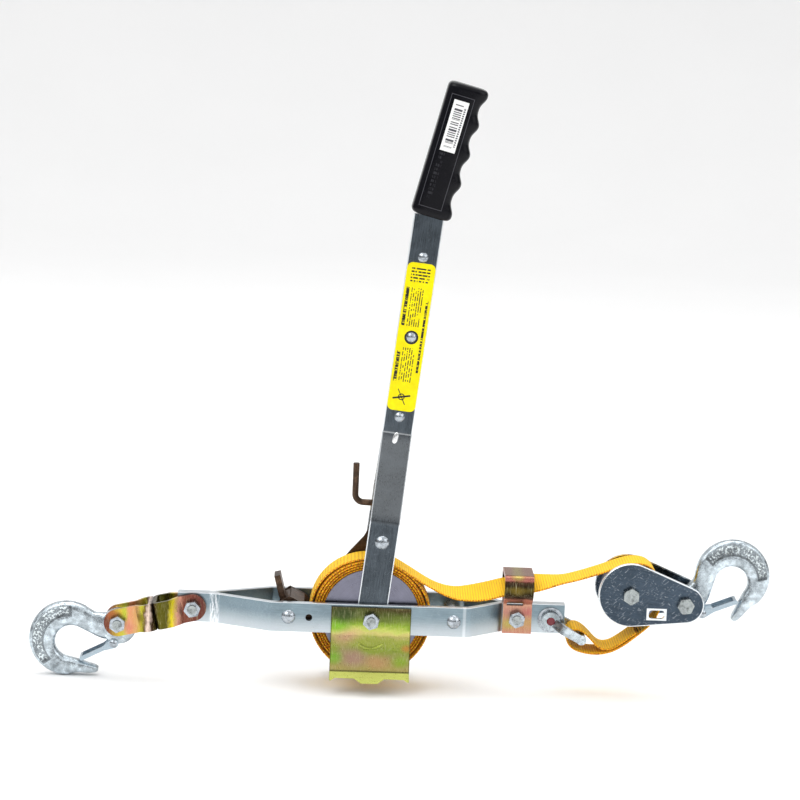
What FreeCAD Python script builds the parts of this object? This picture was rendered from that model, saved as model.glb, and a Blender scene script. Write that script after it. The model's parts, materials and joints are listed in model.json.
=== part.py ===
"""Come along winch: ratchet drum and strap between two bent frame bars, lever, snatch block, hooks.

X runs along the frame towards the load hook, Z is up and Y runs from the front bar to the rear bar.
Every part is drawn about the middle of the drum shaft and is moved when it is saved, so that the
written parts have their origin in the middle of the anchor hook's bowl, where the tool is held.
Lengths are in millimetres, angles in degrees and measured from +X towards +Z.
"""
import FreeCAD
import Part
import math
import os

V = FreeCAD.Vector
ORIGIN = V(0, 0, 0)
X_AXIS, Y_AXIS, Z_AXIS = V(1, 0, 0), V(0, 1, 0), V(0, 0, 1)

# --- Driving dimensions ------------------------------------------------------------------------
BAR_WIDTH = 25.4                # flat bar of the frame and of the lever
FRAME_THICK = 4.76
LEVER_THICK = 3.0
STRAP_WIDTH = 31.75
STRAP_THICK = 2.2
FIT = 0.08                      # radial clearance of a pin in its hole
GAP = 0.3                       # clearance between moving neighbours

BOLT_R = 3.97                   # 5/16 inch bolts
HEX_AF = 12.7                   # 1/2 inch across flats
HEAD_HIGH = 5.2
NUT_HIGH = 6.6
BOLT_PAST_NUT = 1.7
SEAT = 0.02                     # hairline between parts that rest on each other
RIVET_R = 3.0
DOME_R = 6.0
DOME_HIGH = 3.0

# Layers from the middle plane outwards
STRAP_HALF = STRAP_WIDTH / 2
DISC_IN, DISC_OUT = 16.4, 19.4
LEVER_IN, LEVER_OUT = 19.8, 22.8
FRAME_IN = 23.2
FRAME_OUT = FRAME_IN + FRAME_THICK
PAWL_IN, PAWL_OUT = 16.5, 19.3

# Frame bars, seen from above: straight beside the drum, then drawn together at both ends
FRAME_LEFT, FRAME_RIGHT = -166.0, 167.0
BEND_OUTER_LEFT, BEND_INNER_LEFT = -135.0, -85.4
BEND_INNER_RIGHT, BEND_OUTER_RIGHT = 82.5, 111.5
FRAME_BEND_R = 5.0

HOLDING_PAWL_X = -70.4
SPRING_HOLE_X, SPRING_HOLE_R = -53.0, 2.9
SPACER_X, SPACER_R = 70.5, 7.0
KEEPER_BOLT_X = 125.4
SHACKLE_PIN = (154.9, -1.0)
SHACKLE_PIN_R = 3.55
YOKE_BOLT = (-153.0, 0.0)

# Drum
HUB_R = 17.0
TIP_R, ROOT_R, TEETH = 40.3, 37.3, 24
FLANGE_R = 41.3
WINDING_R = 51.5
ANCHOR_PIN_R, ANCHOR_PIN_X = 2.5, 10.5

# Pawls
NOSE_R = TIP_R + 0.35           # a pawl's nose rests just outside the tooth tips
SPRING_WIRE_R, SPRING_TURNS, SPRING_FROM = 0.7, 6, 3.0
ROD_R, ROD_BEND_R = 2.7, 7.0

# Lever
LEVER_LEAN = 6.0                # clockwise from vertical at rest
KICK_START, KICK_END = 84.0, 158.0
LEVER_TOP = 346.0
LEVER_RIVETS = (172.4, 241.6, 310.3)
DRIVE_PAWL_UP = 66.3
GRIP_LEAN = 8.4                 # the grip leans this much further than the lever
GRIP_LONG, GRIP_HALF_THICK = 114.0, 12.0
GRIP_LEFT, GRIP_CREST, GRIP_VALLEY = -16.5, 18.2, 14.2
GRIP_CRESTS = (5.4, 32.0, 57.5, 83.0, 108.6)
LABEL_LOW, LABEL_HIGH, LABEL_WIDE, LABEL_THICK = 178.0, 305.4, 24.2, 0.3

# Yoke: two brackets back to back on a swivel rivet
YOKE_TURN = 193.3               # direction of the yoke axis, from the frame bolt to the hook bolt
YOKE_LONG = 65.3
YOKE_HIGH, YOKE_THICK = 23.5, 3.2
YOKE_WEB = 32.5                 # from a bracket's bolt to the outer face of its web
SWIVEL_R, SWIVEL_HEAD_R, SWIVEL_HEAD, SWIVEL_WASHER = 5.0, 8.6, 4.0, 1.3

# Hooks
HOOK_THICK = 13.0
EYE_BOSS_R, EYE_BOSS_AT = 15.2, (2.0, 4.4)
BOWL_R, BOWL_AT = 14.2, (44.2, -2.8)
BACK_R, BACK_AT = 32.3, (46.5, -7.5)
LATCH_PIVOT, LATCH_LUG_R, LATCH_PIN_R = (12.5, 15.0), 4.4, 2.0
LATCH_TIP = (44.6, 13.4)
LATCH_THICK, LATCH_WALL = 3.6, 1.2
LATCH_HEAD_R, LATCH_HEAD_HIGH, LATCH_WIRE_R = 3.4, 1.3, 0.45
BOWL_ROUND = 2.6                # rounding of the bowl's rims
ANCHOR_HOOK_TURN, LOAD_HOOK_TURN = 210.0, 19.0

# Snatch block
SHEAVE_AT = (221.6, 26.5)
SHEAVE_R = 23.7
BLOCK_BOLT_AT = (268.8, 19.5)
PLATE_BIG_R, PLATE_SMALL_R = 27.65, 16.0
PLATE_IN, PLATE_THICK = 16.75, 3.2
PLATE_SLOT = (244.4, 10.6, 13.4, 7.2)    # middle, length and height of the drain slot
BUSHING_R = 8.0

# Strap route between the drum and the sewn eye, then the eye round the shackle's bow (x, z)
SHEAVE_CORNER = (238.4, 60.7)
STRAP_RUN = [(9.2, 52.1), (19.78, 50.23), (66.5, 19.9), (92.0, 19.6), (119.0, 27.3), (150.0, 31.2),
             (180.0, 37.6), SHEAVE_CORNER, (249.3, 20.0), (243.5, 3.0), (231.0, -8.5)]
STRAP_EYE = [(230.7, -8.8), (214.0, -22.5), (199.0, -27.8), (184.0, -26.8), (173.0, -23.0),
             (168.4, -15.0), (173.0, -6.4), (180.0, -6.4), (188.0, -12.4), (196.0, -21.4),
             (203.0, -23.8), (212.9, -20.3), (228.5, -7.4)]


# --- Helpers -----------------------------------------------------------------------------------
def corner(before, here, after, radius):
    """Ends and middle of the arc of this radius that rounds the turn at a point of a path."""
    back = (before - here).normalize()
    ahead = (after - here).normalize()
    half = back.getAngle(ahead) / 2
    inward = (back + ahead).normalize()
    middle = here + inward * (radius / math.sin(half) - radius)
    reach = radius / math.tan(half)
    return here + back * reach, middle, here + ahead * reach


def easy_radii(points):
    """The largest tangent arcs: 0.45 of the shorter run over the tangent of half the turn."""
    radii = []
    for before, here, after in zip(points, points[1:], points[2:]):
        run = min(math.dist(before, here), math.dist(here, after))
        turn = abs(math.remainder(math.atan2(after[1] - here[1], after[0] - here[0])
                                  - math.atan2(here[1] - before[1], here[0] - before[0]), math.tau))
        radii.append(0.45 * run / math.tan(turn / 2))
    return radii


def strip(points, thickness, radii):
    """Face of a flat bar bent in the XZ plane: straight runs joined by tangent arcs."""
    path = [V(x, 0, z) for x, z in points]
    normals = []
    for here, after in zip(path, path[1:]):
        run = (after - here).normalize()
        normals.append(V(-run.z, 0, run.x))
    sides = []
    for offset in (thickness / 2, -thickness / 2):
        edges = []
        here = path[0] + normals[0] * offset
        for i, radius in enumerate(radii, start=1):
            start, middle, end = corner(path[i - 1], path[i], path[i + 1], radius)
            mean = (normals[i - 1] + normals[i]).normalize()
            start, middle, end = (start + normals[i - 1] * offset, middle + mean * offset,
                                  end + normals[i] * offset)
            if (start - here).Length > 1e-4:
                edges.append(Part.LineSegment(here, start).toShape())
            edges.append(Part.Arc(start, middle, end).toShape())
            here = end
        last = path[-1] + normals[-1] * offset
        edges.append(Part.LineSegment(here, last).toShape())
        sides.append(edges)
    caps = [Part.LineSegment(path[i] + normals[i] * thickness / 2,
                             path[i] - normals[i] * thickness / 2).toShape() for i in (0, -1)]
    return Part.Face(Part.Wire(Part.__sortEdges__(sides[0] + sides[1] + caps)))


def spread(face, low, high, plane):
    """Turn an XZ face into the named plane and give it its width from low to high."""
    if plane == "xy":
        face.rotate(ORIGIN, X_AXIS, -90)
        axis = Z_AXIS
    elif plane == "yz":
        face.rotate(ORIGIN, Z_AXIS, 90)
        axis = X_AXIS
    else:
        axis = Y_AXIS
    face.translate(axis * low)
    return face.extrude(axis * (high - low))


def bent_bar(points, thickness, radius, low, high, plane="xz"):
    return spread(strip(points, thickness, [radius] * (len(points) - 2)), low, high, plane)


def outline(start, *moves):
    """Closed XZ face: a move holds one point for a line, or two for an arc through the first."""
    edges = []
    here = V(start[0], 0, start[1])
    for move in moves:
        stops = [V(x, 0, z) for x, z in move]
        if len(stops) == 2:
            edges.append(Part.Arc(here, *stops).toShape())
        else:
            edges.append(Part.LineSegment(here, stops[0]).toShape())
        here = stops[-1]
    return Part.Face(Part.Wire(edges))


def rounded(points, radius):
    """Closed XZ face of a polygon whose corners are rounded."""
    path = [V(x, 0, z) for x, z in points]
    arcs = [corner(path[i - 1], path[i], path[(i + 1) % len(path)], radius) for i in range(len(path))]
    edges = []
    for arc, after in zip(arcs, arcs[1:] + arcs[:1]):
        edges.append(Part.Arc(*arc).toShape())
        edges.append(Part.LineSegment(arc[2], after[0]).toShape())
    return Part.Face(Part.Wire(edges))


def rod(radius, low, high, x=0.0, z=0.0):
    """Cylinder along Y."""
    return Part.makeCylinder(radius, high - low, V(x, low, z), Y_AXIS)


def tube(outer, inner, low, high, x=0.0, z=0.0):
    return rod(outer, low, high, x, z).cut(rod(inner, low - 1, high + 1, x, z))


def box(x0, x1, y0, y1, z0, z1):
    return Part.makeBox(x1 - x0, y1 - y0, z1 - z0, V(x0, y0, z0))


def polar(radius, degrees, at=(0.0, 0.0)):
    return (at[0] + radius * math.cos(math.radians(degrees)),
            at[1] + radius * math.sin(math.radians(degrees)))


def turned(profile, x=0.0, z=0.0):
    """Solid of revolution about the Y line through (x, z); the profile lists (radius, y)."""
    points = [V(r, y, 0) for r, y in profile]
    shape = Part.Face(Part.makePolygon(points + points[:1])).revolve(ORIGIN, Y_AXIS, 360)
    shape.translate(V(x, 0, z))
    return shape


def hexagon(low, high, x, z, spin=0.0):
    """Hexagonal prism along Y with its corners chamfered at both ends."""
    across = HEX_AF / math.sqrt(3)
    points = [V(*polar(across, spin + 60 * i)[:1], low, polar(across, spin + 60 * i)[1]) for i in range(7)]
    prism = Part.Face(Part.makePolygon(points)).extrude(V(0, high - low, 0))
    prism.translate(V(x, 0, z))
    bevel = 0.8
    barrel = turned([(0, low), (across - bevel, low), (across, low + bevel / 2), (across, high - bevel / 2),
                     (across - bevel, high), (0, high)], x, z)
    return prism.common(barrel)


def bolt(at, head_face, head_side, end, spin=0.0):
    """Hex bolt along Y: the head sits against head_face on its head_side, the shank runs to end."""
    x, z = at
    crown = head_face + head_side * HEAD_HIGH
    head = hexagon(min(head_face, crown), max(head_face, crown), x, z, spin)
    shank = rod(BOLT_R, min(head_face, end), max(head_face, end), x, z)
    return head.fuse(shank).removeSplitter()


def nut(at, face, side, spin=0.0):
    """Hex nut along Y, seated against face on the given side."""
    x, z = at
    far = face + side * NUT_HIGH
    low, high = min(face, far), max(face, far)
    return hexagon(low, high, x, z, spin).cut(rod(BOLT_R + FIT / 2, low - 1, high + 1, x, z))


def dome_rivet(at, half, radius=RIVET_R, head_r=DOME_R, head_high=DOME_HIGH):
    """Rivet along Y with a domed head beyond each half."""
    x, z = at
    ball = (head_r ** 2 + head_high ** 2) / (2 * head_high)
    shape = rod(radius, -half, half, x, z)
    for side in (-1, 1):
        sphere = Part.makeSphere(ball, V(x, side * (half + head_high - ball), z))
        slab = rod(head_r + 1, min(side * half, side * (half + head_high)),
                   max(side * half, side * (half + head_high)), x, z)
        shape = shape.fuse(sphere.common(slab))
    return shape.removeSplitter()


def pawl_spring(at):
    """Close-wound spring round a pawl's pin, as a ribbed sleeve of rings that just run together."""
    rings = []
    pitch = 2 * SPRING_WIRE_R * 0.96
    for i in range(SPRING_TURNS):
        middle = V(at[0], SPRING_FROM + SPRING_WIRE_R + i * pitch, at[1])
        rings.append(Part.makeTorus(RIVET_R + 1.0, SPRING_WIRE_R, middle, Y_AXIS))
    return rings[0].fuse(rings[1:]).removeSplitter()


def placed(shape, degrees, at):
    """Turn a part drawn along +X to the given direction and move its origin to (x, z)."""
    shape.rotate(ORIGIN, Y_AXIS, -degrees)
    shape.translate(V(at[0], 0, at[1]))
    return shape


def on_lever(shape):
    """Lever parts are drawn upright; the lever leans at rest."""
    shape.rotate(ORIGIN, Y_AXIS, LEVER_LEAN)
    return shape


def mirrored(shape):
    """The same part on the other side of the middle plane."""
    return shape.mirror(ORIGIN, Y_AXIS)


def anchor_bowl():
    """Middle of the anchor hook's bowl, measured from the drum shaft."""
    x, z = polar(YOKE_LONG, YOKE_TURN, YOKE_BOLT)
    turn = math.radians(ANCHOR_HOOK_TURN)
    return (x + BOWL_AT[0] * math.cos(turn) - BOWL_AT[1] * math.sin(turn),
            z + BOWL_AT[0] * math.sin(turn) + BOWL_AT[1] * math.cos(turn))


def save(name, shape):
    """Move a part from the drawing's origin to the anchor hook's bowl and write it."""
    assert shape.isValid(), name
    x, z = anchor_bowl()
    shape = shape.copy()
    shape.translate(V(-x, 0, -z))
    shape.exportStep(f"parts/{name}.step")
    print(f"{name:24s} solids {len(shape.Solids)}  volume {shape.Volume / 1000:9.3f} cm3")


# --- Frame -------------------------------------------------------------------------------------
def frame_side():
    """Front bar of the frame with its holes."""
    middle_in, middle_out = -FRAME_THICK / 2, -(FRAME_IN + FRAME_THICK / 2)
    plan = [(FRAME_LEFT, middle_in), (BEND_OUTER_LEFT, middle_in), (BEND_INNER_LEFT, middle_out),
            (BEND_INNER_RIGHT, middle_out), (BEND_OUTER_RIGHT, middle_in), (FRAME_RIGHT, middle_in)]
    bar = bent_bar(plan, FRAME_THICK, FRAME_BEND_R, -BAR_WIDTH / 2, BAR_WIDTH / 2, "xy")
    holes = [(0.0, 0.0, BOLT_R), (HOLDING_PAWL_X, 0.0, RIVET_R), (SPACER_X, 0.0, RIVET_R),
             (KEEPER_BOLT_X, 0.0, BOLT_R), (*SHACKLE_PIN, SHACKLE_PIN_R), (*YOKE_BOLT, BOLT_R)]
    for x, z, radius in holes:
        bar = bar.cut(rod(radius + FIT, -FRAME_OUT - 1, 1, x, z))
    return bar.cut(rod(SPRING_HOLE_R, -FRAME_OUT - 1, 1, SPRING_HOLE_X, 0))


def drum_guard():
    """Front guard: flat on the bar, leaning out below it, with a flared foot and a raised rib."""
    thick, half = 2.0, 34.0
    face_y = -(FRAME_OUT + 0.04 + thick / 2)
    side_view = [(face_y, 10.7), (face_y, -13.5), (face_y - 3.5, -44.5), (face_y - 12.3, -53.3)]
    sheet = bent_bar(side_view, thick, 3.0, -half, half, "yz")
    foot = [(-half - 1, -70), (-half - 1, -51.0), (-half + 1.5, -51.0), (-half + 4.5, -49.3),
            (-13.0, -49.3), (-7.0, -52.6), (7.0, -52.6), (13.0, -49.3), (half - 4.5, -49.3),
            (half - 1.5, -51.0), (half + 1, -51.0), (half + 1, -70)]
    points = [V(x, -60, z) for x, z in foot]
    trim = Part.Face(Part.makePolygon(points + points[:1])).extrude(V(0, 60, 0))
    rib_r, rib_wide, rib_low = 17.0, 10.5, -24.5
    rib = Part.makeTorus(rib_r, 1.3, ORIGIN, Y_AXIS).common(box(-rib_wide, rib_wide, -3, 3, -rib_r - 2, 0))
    rib.rotate(V(0, 0, -rib_r), X_AXIS, -6.4)
    rib.translate(V(0, face_y - thick / 2 - 1.3, rib_low + rib_r))
    sheet = sheet.cut(trim).cut(rod(BOLT_R + FIT, -FRAME_OUT - 5, -20, 0, 0))
    return sheet.fuse(rib.common(box(-15, 15, -40, face_y, -40, -14))).removeSplitter()


def strap_keeper():
    """Bridge bent from a flat band: legs on the frame, flared to let the strap through on top."""
    thick, left, right = 3.0, 113.5, 138.4
    leg = FRAME_THICK + 0.05 + thick / 2
    wall, top = STRAP_HALF + 1.3 + thick / 2, 38.2
    half_view = [(-leg, -13.3), (-leg, 13.2), (-wall, 23.3), (-wall, top)]
    view = half_view + [(-y, z) for y, z in reversed(half_view)]
    band = bent_bar(view, thick, 4.2, left, right, "yz")
    band = band.cut(rod(BOLT_R + FIT, -30, 30, KEEPER_BOLT_X, 0))
    return band.cut(box(left + 3.0, left + 17.0, -20, 0, 11.2, 15.6))


def make_frame():
    front = frame_side()
    save("frame_side_front", front)
    save("frame_side_rear", mirrored(front))
    save("frame_spacer", tube(SPACER_R, RIVET_R + FIT, -FRAME_IN + SEAT, FRAME_IN - SEAT, SPACER_X))
    save("frame_rivet", dome_rivet((SPACER_X, 0.0), FRAME_OUT + SEAT))
    save("holding_pawl_pin", dome_rivet((HOLDING_PAWL_X, 0.0), FRAME_OUT + SEAT))
    guard = drum_guard()
    save("drum_guard_front", guard)
    save("drum_guard_rear", mirrored(guard))
    guard_face = FRAME_OUT + 2.08
    end = guard_face + NUT_HIGH + 2.2
    save("drum_shaft_bolt", bolt((0, 0), guard_face, 1, -end, 12))
    save("drum_shaft_nut", nut((0, 0), -guard_face - 0.04, -1, 18))
    save("strap_keeper", strap_keeper())
    keeper_face = FRAME_THICK + 3.1
    save("keeper_bolt", bolt((KEEPER_BOLT_X, 0), keeper_face, 1, -keeper_face - NUT_HIGH - BOLT_PAST_NUT))
    save("keeper_nut", nut((KEEPER_BOLT_X, 0), -keeper_face - 0.04, -1, 22))


# --- Drum --------------------------------------------------------------------------------------
def ratchet_wheel():
    """Rear side disc: its rim carries teeth whose steep faces look clockwise."""
    pitch = 360 / TEETH
    rim = []
    for i in range(TEETH):
        rim += [polar(ROOT_R, i * pitch), polar(TIP_R, i * pitch + 0.6), polar(TIP_R, i * pitch + 3.0)]
    points = [V(x, DISC_IN, z) for x, z in rim]
    disc = Part.Face(Part.makePolygon(points + points[:1])).extrude(V(0, DISC_OUT - DISC_IN, 0))
    return disc.cut(rod(BOLT_R + FIT, DISC_IN - 1, DISC_OUT + 1))


def make_drum():
    save("ratchet_wheel", ratchet_wheel())
    save("drum_flange", tube(FLANGE_R, BOLT_R + FIT, -DISC_OUT, -DISC_IN))
    slot = box(ANCHOR_PIN_X, HUB_R + 1, -DISC_IN - 1, DISC_IN + 1, -1.3, 1.3)
    hub = tube(HUB_R, BOLT_R + FIT, -DISC_IN, DISC_IN).cut(slot)
    hub = hub.cut(rod(ANCHOR_PIN_R + FIT, -DISC_IN - 1, DISC_IN + 1, ANCHOR_PIN_X))
    save("drum_hub", hub)
    save("strap_anchor_pin", rod(ANCHOR_PIN_R, -DISC_IN + 0.1, DISC_IN - 0.1, ANCHOR_PIN_X))
    save("strap_winding", tube(WINDING_R, HUB_R + 0.05, -STRAP_HALF, STRAP_HALF))


# --- Pawls -------------------------------------------------------------------------------------
def pawl(rear_cheek, front_cheek, pivot, bridges):
    """A rear cheek that drives the wheel and a front cheek that clears the flange, joined by bridges."""
    rear = spread(rounded(rear_cheek, 1.2), PAWL_IN, PAWL_OUT, "xz")
    front = spread(rounded(front_cheek, 1.2), -PAWL_OUT, -PAWL_IN, "xz")
    shape = rear.fuse([front] + bridges)
    return shape.cut(rod(RIVET_R + FIT, -30, 30, *pivot)).removeSplitter()


def make_holding_pawl():
    pivot = (HOLDING_PAWL_X, 0.0)
    back = [(-57.0, 9.4), (-70.2, 16.0), (-78.0, 10.2), (-79.5, -5.0), (-70.0, -9.5)]
    rear = [polar(NOSE_R, 197), (-43.4, -4.5)] + back + [(-50.0, -15.5), (-41.5, -16.5)]
    front = [(-45.0, -7.5), (-47.0, -1.5)] + back + [(-51.0, -14.5)]
    top = bent_bar([(-58.0, 8.2), (-69.6, 14.0)], 2.8, 0, -PAWL_OUT, PAWL_OUT)
    finger = bent_bar([(-73.0, 8.0), (-76.6, 13.5), (-81.2, 31.0)], 5.4, 5.0, -9.0, 9.0)
    root = bent_bar([(-69.0, 13.6), (-76.4, 9.6)], 2.8, 0, -PAWL_OUT, PAWL_OUT)
    save("holding_pawl", pawl(rear, front, pivot, [top, root, finger]))
    save("holding_pawl_spring", pawl_spring(pivot))


def make_drive_pawl():
    pivot = (0.0, DRIVE_PAWL_UP)
    hub = [(-8.5, 75.6), (5.0, 75.6), (8.5, 66.0), (5.0, 57.0)]
    rear = [polar(NOSE_R, 123), (-28.5, 40.5), (-24.5, 46.8), (-14.5, 61.0)] + hub + [(-10.0, 47.0)]
    front = [(-8.0, 57.0)] + hub
    top = bent_bar([(-9.2, 73.6), (4.2, 73.6)], 3.0, 0, -PAWL_OUT, PAWL_OUT)
    save("drive_pawl", on_lever(pawl(rear, front, pivot, [top])))
    points = [V(0, 0, 75.4), V(2.0, 0, 96.0), V(-27.0, 0, 94.0), V(-30.4, 0, 127.5)]
    edges = []
    here = points[0]
    for before, middle, after in zip(points, points[1:], points[2:]):
        start, mid, end = corner(before, middle, after, ROD_BEND_R)
        edges += [Part.LineSegment(here, start).toShape(), Part.Arc(start, mid, end).toShape()]
        here = end
    edges.append(Part.LineSegment(here, points[-1]).toShape())
    section = Part.Wire(Part.makeCircle(ROD_R, points[0], points[1] - points[0]))
    save("drive_pawl_rod", on_lever(Part.Wire(edges).makePipeShell([section], True, True)))
    save("drive_pawl_pin", on_lever(dome_rivet(pivot, LEVER_OUT + SEAT, head_high=2.8)))
    save("drive_pawl_spring", on_lever(pawl_spring(pivot)))


# --- Lever -------------------------------------------------------------------------------------
def lever_plate():
    """Front bar of the lever: beside the drum at the bottom, against its twin above the kick."""
    low_y, high_y = -(LEVER_IN + LEVER_THICK / 2), -(LEVER_THICK / 2 + SEAT)
    side_view = [(low_y, -BAR_WIDTH), (low_y, KICK_START), (high_y, KICK_END), (high_y, LEVER_TOP + 2)]
    bar = bent_bar(side_view, LEVER_THICK, 9.0, -BAR_WIDTH / 2, BAR_WIDTH / 2, "yz")
    reach = BAR_WIDTH / 2
    front_view = outline((reach, 0.0), [(reach, LEVER_TOP)], [(-reach, LEVER_TOP)], [(-reach, 0.0)],
                         [(0.0, -reach), (reach, 0.0)])
    bar = bar.common(spread(front_view, -LEVER_OUT - 1, 1, "xz"))
    bar = bar.cut(rod(BOLT_R + FIT, -30, 0)).cut(rod(RIVET_R + FIT, -30, 0, 0, DRIVE_PAWL_UP))
    for up in LEVER_RIVETS:
        bar = bar.cut(rod(RIVET_R + FIT, -5, 1, 0, up))
    return bar


def grip():
    """Moulded grip with four finger grooves, drawn upright from its lower end."""
    low, high = 0.0, GRIP_LONG
    moves = []
    for crest, after in zip(GRIP_CRESTS, GRIP_CRESTS[1:]):
        moves.append([(GRIP_CREST, crest), (GRIP_CREST - 0.9, crest + 3.0)])
        moves.append([(GRIP_VALLEY, (crest + after) / 2), (GRIP_CREST - 0.9, after - 3.0)])
    moves.append([(GRIP_CREST, GRIP_CRESTS[-1]), (GRIP_CREST - 2.2, high - 1.6)])
    face = outline((GRIP_CREST - 0.9, low), *moves, [(GRIP_CREST - 5.5, high)], [(GRIP_LEFT + 3.0, high)],
                   [(GRIP_LEFT + 0.8, high - 0.8), (GRIP_LEFT, high - 3.0)], [(GRIP_LEFT, low + 2.0)],
                   [(GRIP_LEFT + 0.6, low + 0.6), (GRIP_LEFT + 2.0, low)], [(GRIP_CREST - 0.9, low)])
    solid = spread(face, -GRIP_HALF_THICK, GRIP_HALF_THICK, "xz")
    long_edges = [edge for edge in solid.Edges
                  if abs(abs(edge.CenterOfMass.y) - GRIP_HALF_THICK) < 0.01 and edge.CenterOfMass.x < 0
                  and edge.Length > GRIP_LONG * 0.8]
    solid = solid.makeFillet(7.0, long_edges)
    pocket = box(-BAR_WIDTH / 2 - 0.1, BAR_WIDTH / 2 + 0.1, -3.15, 3.15, -1, 20.0)
    solid = solid.cut(pocket)
    return solid


def on_grip(shape):
    """Grip parts stand on the lever's upper end and lean further than the lever."""
    shape.rotate(ORIGIN, Y_AXIS, GRIP_LEAN)
    shape.translate(V(0, 0, LEVER_TOP - 2))
    return on_lever(shape)


def make_lever():
    front = lever_plate()
    save("lever_plate_rear", on_lever(mirrored(front)))
    save("lever_plate_front", on_lever(front))
    rivets = [dome_rivet((0.0, up), LEVER_THICK + 0.05, head_r=4.3, head_high=1.9) for up in LEVER_RIVETS]
    save("lever_rivets", on_lever(Part.makeCompound(rivets)))
    save("grip", on_grip(grip()))
    sticker = box(-8.7, 4.2, -GRIP_HALF_THICK - 0.3, -GRIP_HALF_THICK - 0.02, 58.2, 101.8)
    save("grip_sticker", on_grip(sticker))
    half = LABEL_WIDE / 2
    face = rounded([(half, LABEL_LOW), (half, LABEL_HIGH), (-half, LABEL_HIGH), (-half, LABEL_LOW)], 5.0)
    label = spread(face, -LEVER_THICK - LABEL_THICK - 0.04, -LEVER_THICK - 0.04, "xz")
    save("lever_label", on_lever(label.cut(rod(4.8, -10, 0, 0, LEVER_RIVETS[1]))))


# --- Yoke --------------------------------------------------------------------------------------
def yoke_bracket(ear_in, joggle_low, joggle_high):
    """U bracket drawn with its bolt at the origin and its web towards +X."""
    ear, side = ear_in + YOKE_THICK / 2, 13.9
    web = YOKE_WEB - YOKE_THICK / 2
    half_view = [(-14.0, -ear), (joggle_low, -ear), (joggle_high, -side), (web, -side)]
    view = half_view + [(x, -y) for x, y in reversed(half_view)]
    shape = bent_bar(view, YOKE_THICK, 3.2, -YOKE_HIGH / 2, YOKE_HIGH / 2, "xy")
    reach = YOKE_HIGH / 2
    side_view = outline((0.0, -reach), [(YOKE_WEB + 1, -reach)], [(YOKE_WEB + 1, reach)], [(0.0, reach)],
                        [(-reach, 0.0), (0.0, -reach)])
    shape = shape.common(spread(side_view, -25, 25, "xz"))
    swivel_hole = Part.makeCylinder(SWIVEL_R + FIT, 20, V(YOKE_WEB - 10, 0, 0), X_AXIS)
    return shape.cut(rod(BOLT_R + FIT, -25, 25)).cut(swivel_hole)


def swivel_rivet():
    """Rivet along X through both webs, heads inside the brackets; drawn from the frame bolt."""
    inner, outer = YOKE_WEB - YOKE_THICK, YOKE_LONG - YOKE_WEB + YOKE_THICK
    far_head = outer + GAP + SWIVEL_WASHER + 0.2
    shank = Part.makeCylinder(SWIVEL_R, far_head - inner + 1, V(inner - 0.5, 0, 0), X_AXIS)
    heads = [Part.makeCylinder(SWIVEL_HEAD_R, SWIVEL_HEAD, V(start, 0, 0), X_AXIS)
             for start in (inner - SWIVEL_HEAD - SEAT, far_head)]
    return shank.fuse(heads).removeSplitter()


def make_yoke():
    frame_ear, hook_ear = FRAME_THICK + GAP, HOOK_THICK / 2 + GAP
    save("yoke_frame_bracket", placed(yoke_bracket(frame_ear, 9.5, 19.0), YOKE_TURN, YOKE_BOLT))
    face = frame_ear + YOKE_THICK + SEAT
    end = -face - NUT_HIGH - BOLT_PAST_NUT
    save("yoke_bolt", bolt(YOKE_BOLT, face, 1, end, 10))
    save("yoke_nut", nut(YOKE_BOLT, -face, -1, 12))
    save("swivel_rivet", placed(swivel_rivet(), YOKE_TURN, YOKE_BOLT))
    inner = YOKE_LONG - YOKE_WEB + YOKE_THICK
    washer = Part.makeCylinder(SWIVEL_HEAD_R, SWIVEL_WASHER, V(inner + GAP, 0, 0), X_AXIS)
    washer = washer.cut(Part.makeCylinder(SWIVEL_R + FIT, 4, V(inner - 1, 0, 0), X_AXIS))
    save("swivel_washer", placed(washer, YOKE_TURN, YOKE_BOLT))
    hook_bolt_at = polar(YOKE_LONG, YOKE_TURN, YOKE_BOLT)
    bracket = yoke_bracket(hook_ear, 18.0, 24.0)
    save("yoke_hook_bracket", placed(bracket, YOKE_TURN + 180, hook_bolt_at))
    face = hook_ear + YOKE_THICK + SEAT
    end = -face - NUT_HIGH - BOLT_PAST_NUT
    save("hook_bolt", bolt(hook_bolt_at, face, 1, end, 0))
    save("hook_nut", nut(hook_bolt_at, -face, -1, 25))


# --- Hooks -------------------------------------------------------------------------------------
def hook():
    """Forged eye hook drawn with its eye at the origin, shank towards +X and point towards +Z."""
    body = outline(
        polar(EYE_BOSS_R, 40, EYE_BOSS_AT),
        [polar(EYE_BOSS_R, 165, EYE_BOSS_AT), polar(EYE_BOSS_R, -72, EYE_BOSS_AT)],
        [(14.6, -14.4)], [polar(BACK_R, 205, BACK_AT)],
        [polar(BACK_R, -45, BACK_AT), polar(BACK_R, 62, BACK_AT)],
        [(51.5, 24.2), (42.6, 29.6)],
        [(37.6, 31.0), (34.8, 27.4)],
        [(42.2, 19.4), polar(BOWL_R, 59, BOWL_AT)],
        [polar(BOWL_R, -43, BOWL_AT), polar(BOWL_R, -145, BOWL_AT)],
        [(18.2, 8.6)],
        [polar(EYE_BOSS_R, 40, EYE_BOSS_AT)])
    half = HOOK_THICK / 2
    solid = spread(body, -half, half, "xz")
    bowl_rim = [edge for edge in solid.Edges if abs(abs(edge.CenterOfMass.y) - half) < 0.01
                and math.dist((edge.CenterOfMass.x, edge.CenterOfMass.z), BOWL_AT) < BOWL_R]
    solid = solid.makeFillet(BOWL_ROUND, bowl_rim)
    lug = rod(LATCH_LUG_R, -half, half, *LATCH_PIVOT)
    solid = solid.fuse(lug).removeSplitter()
    solid = solid.cut(rod(BOLT_R + FIT, -half - 1, half + 1))
    return solid.cut(rod(LATCH_PIN_R + FIT, -half - 1, half + 1, *LATCH_PIVOT))


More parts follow.
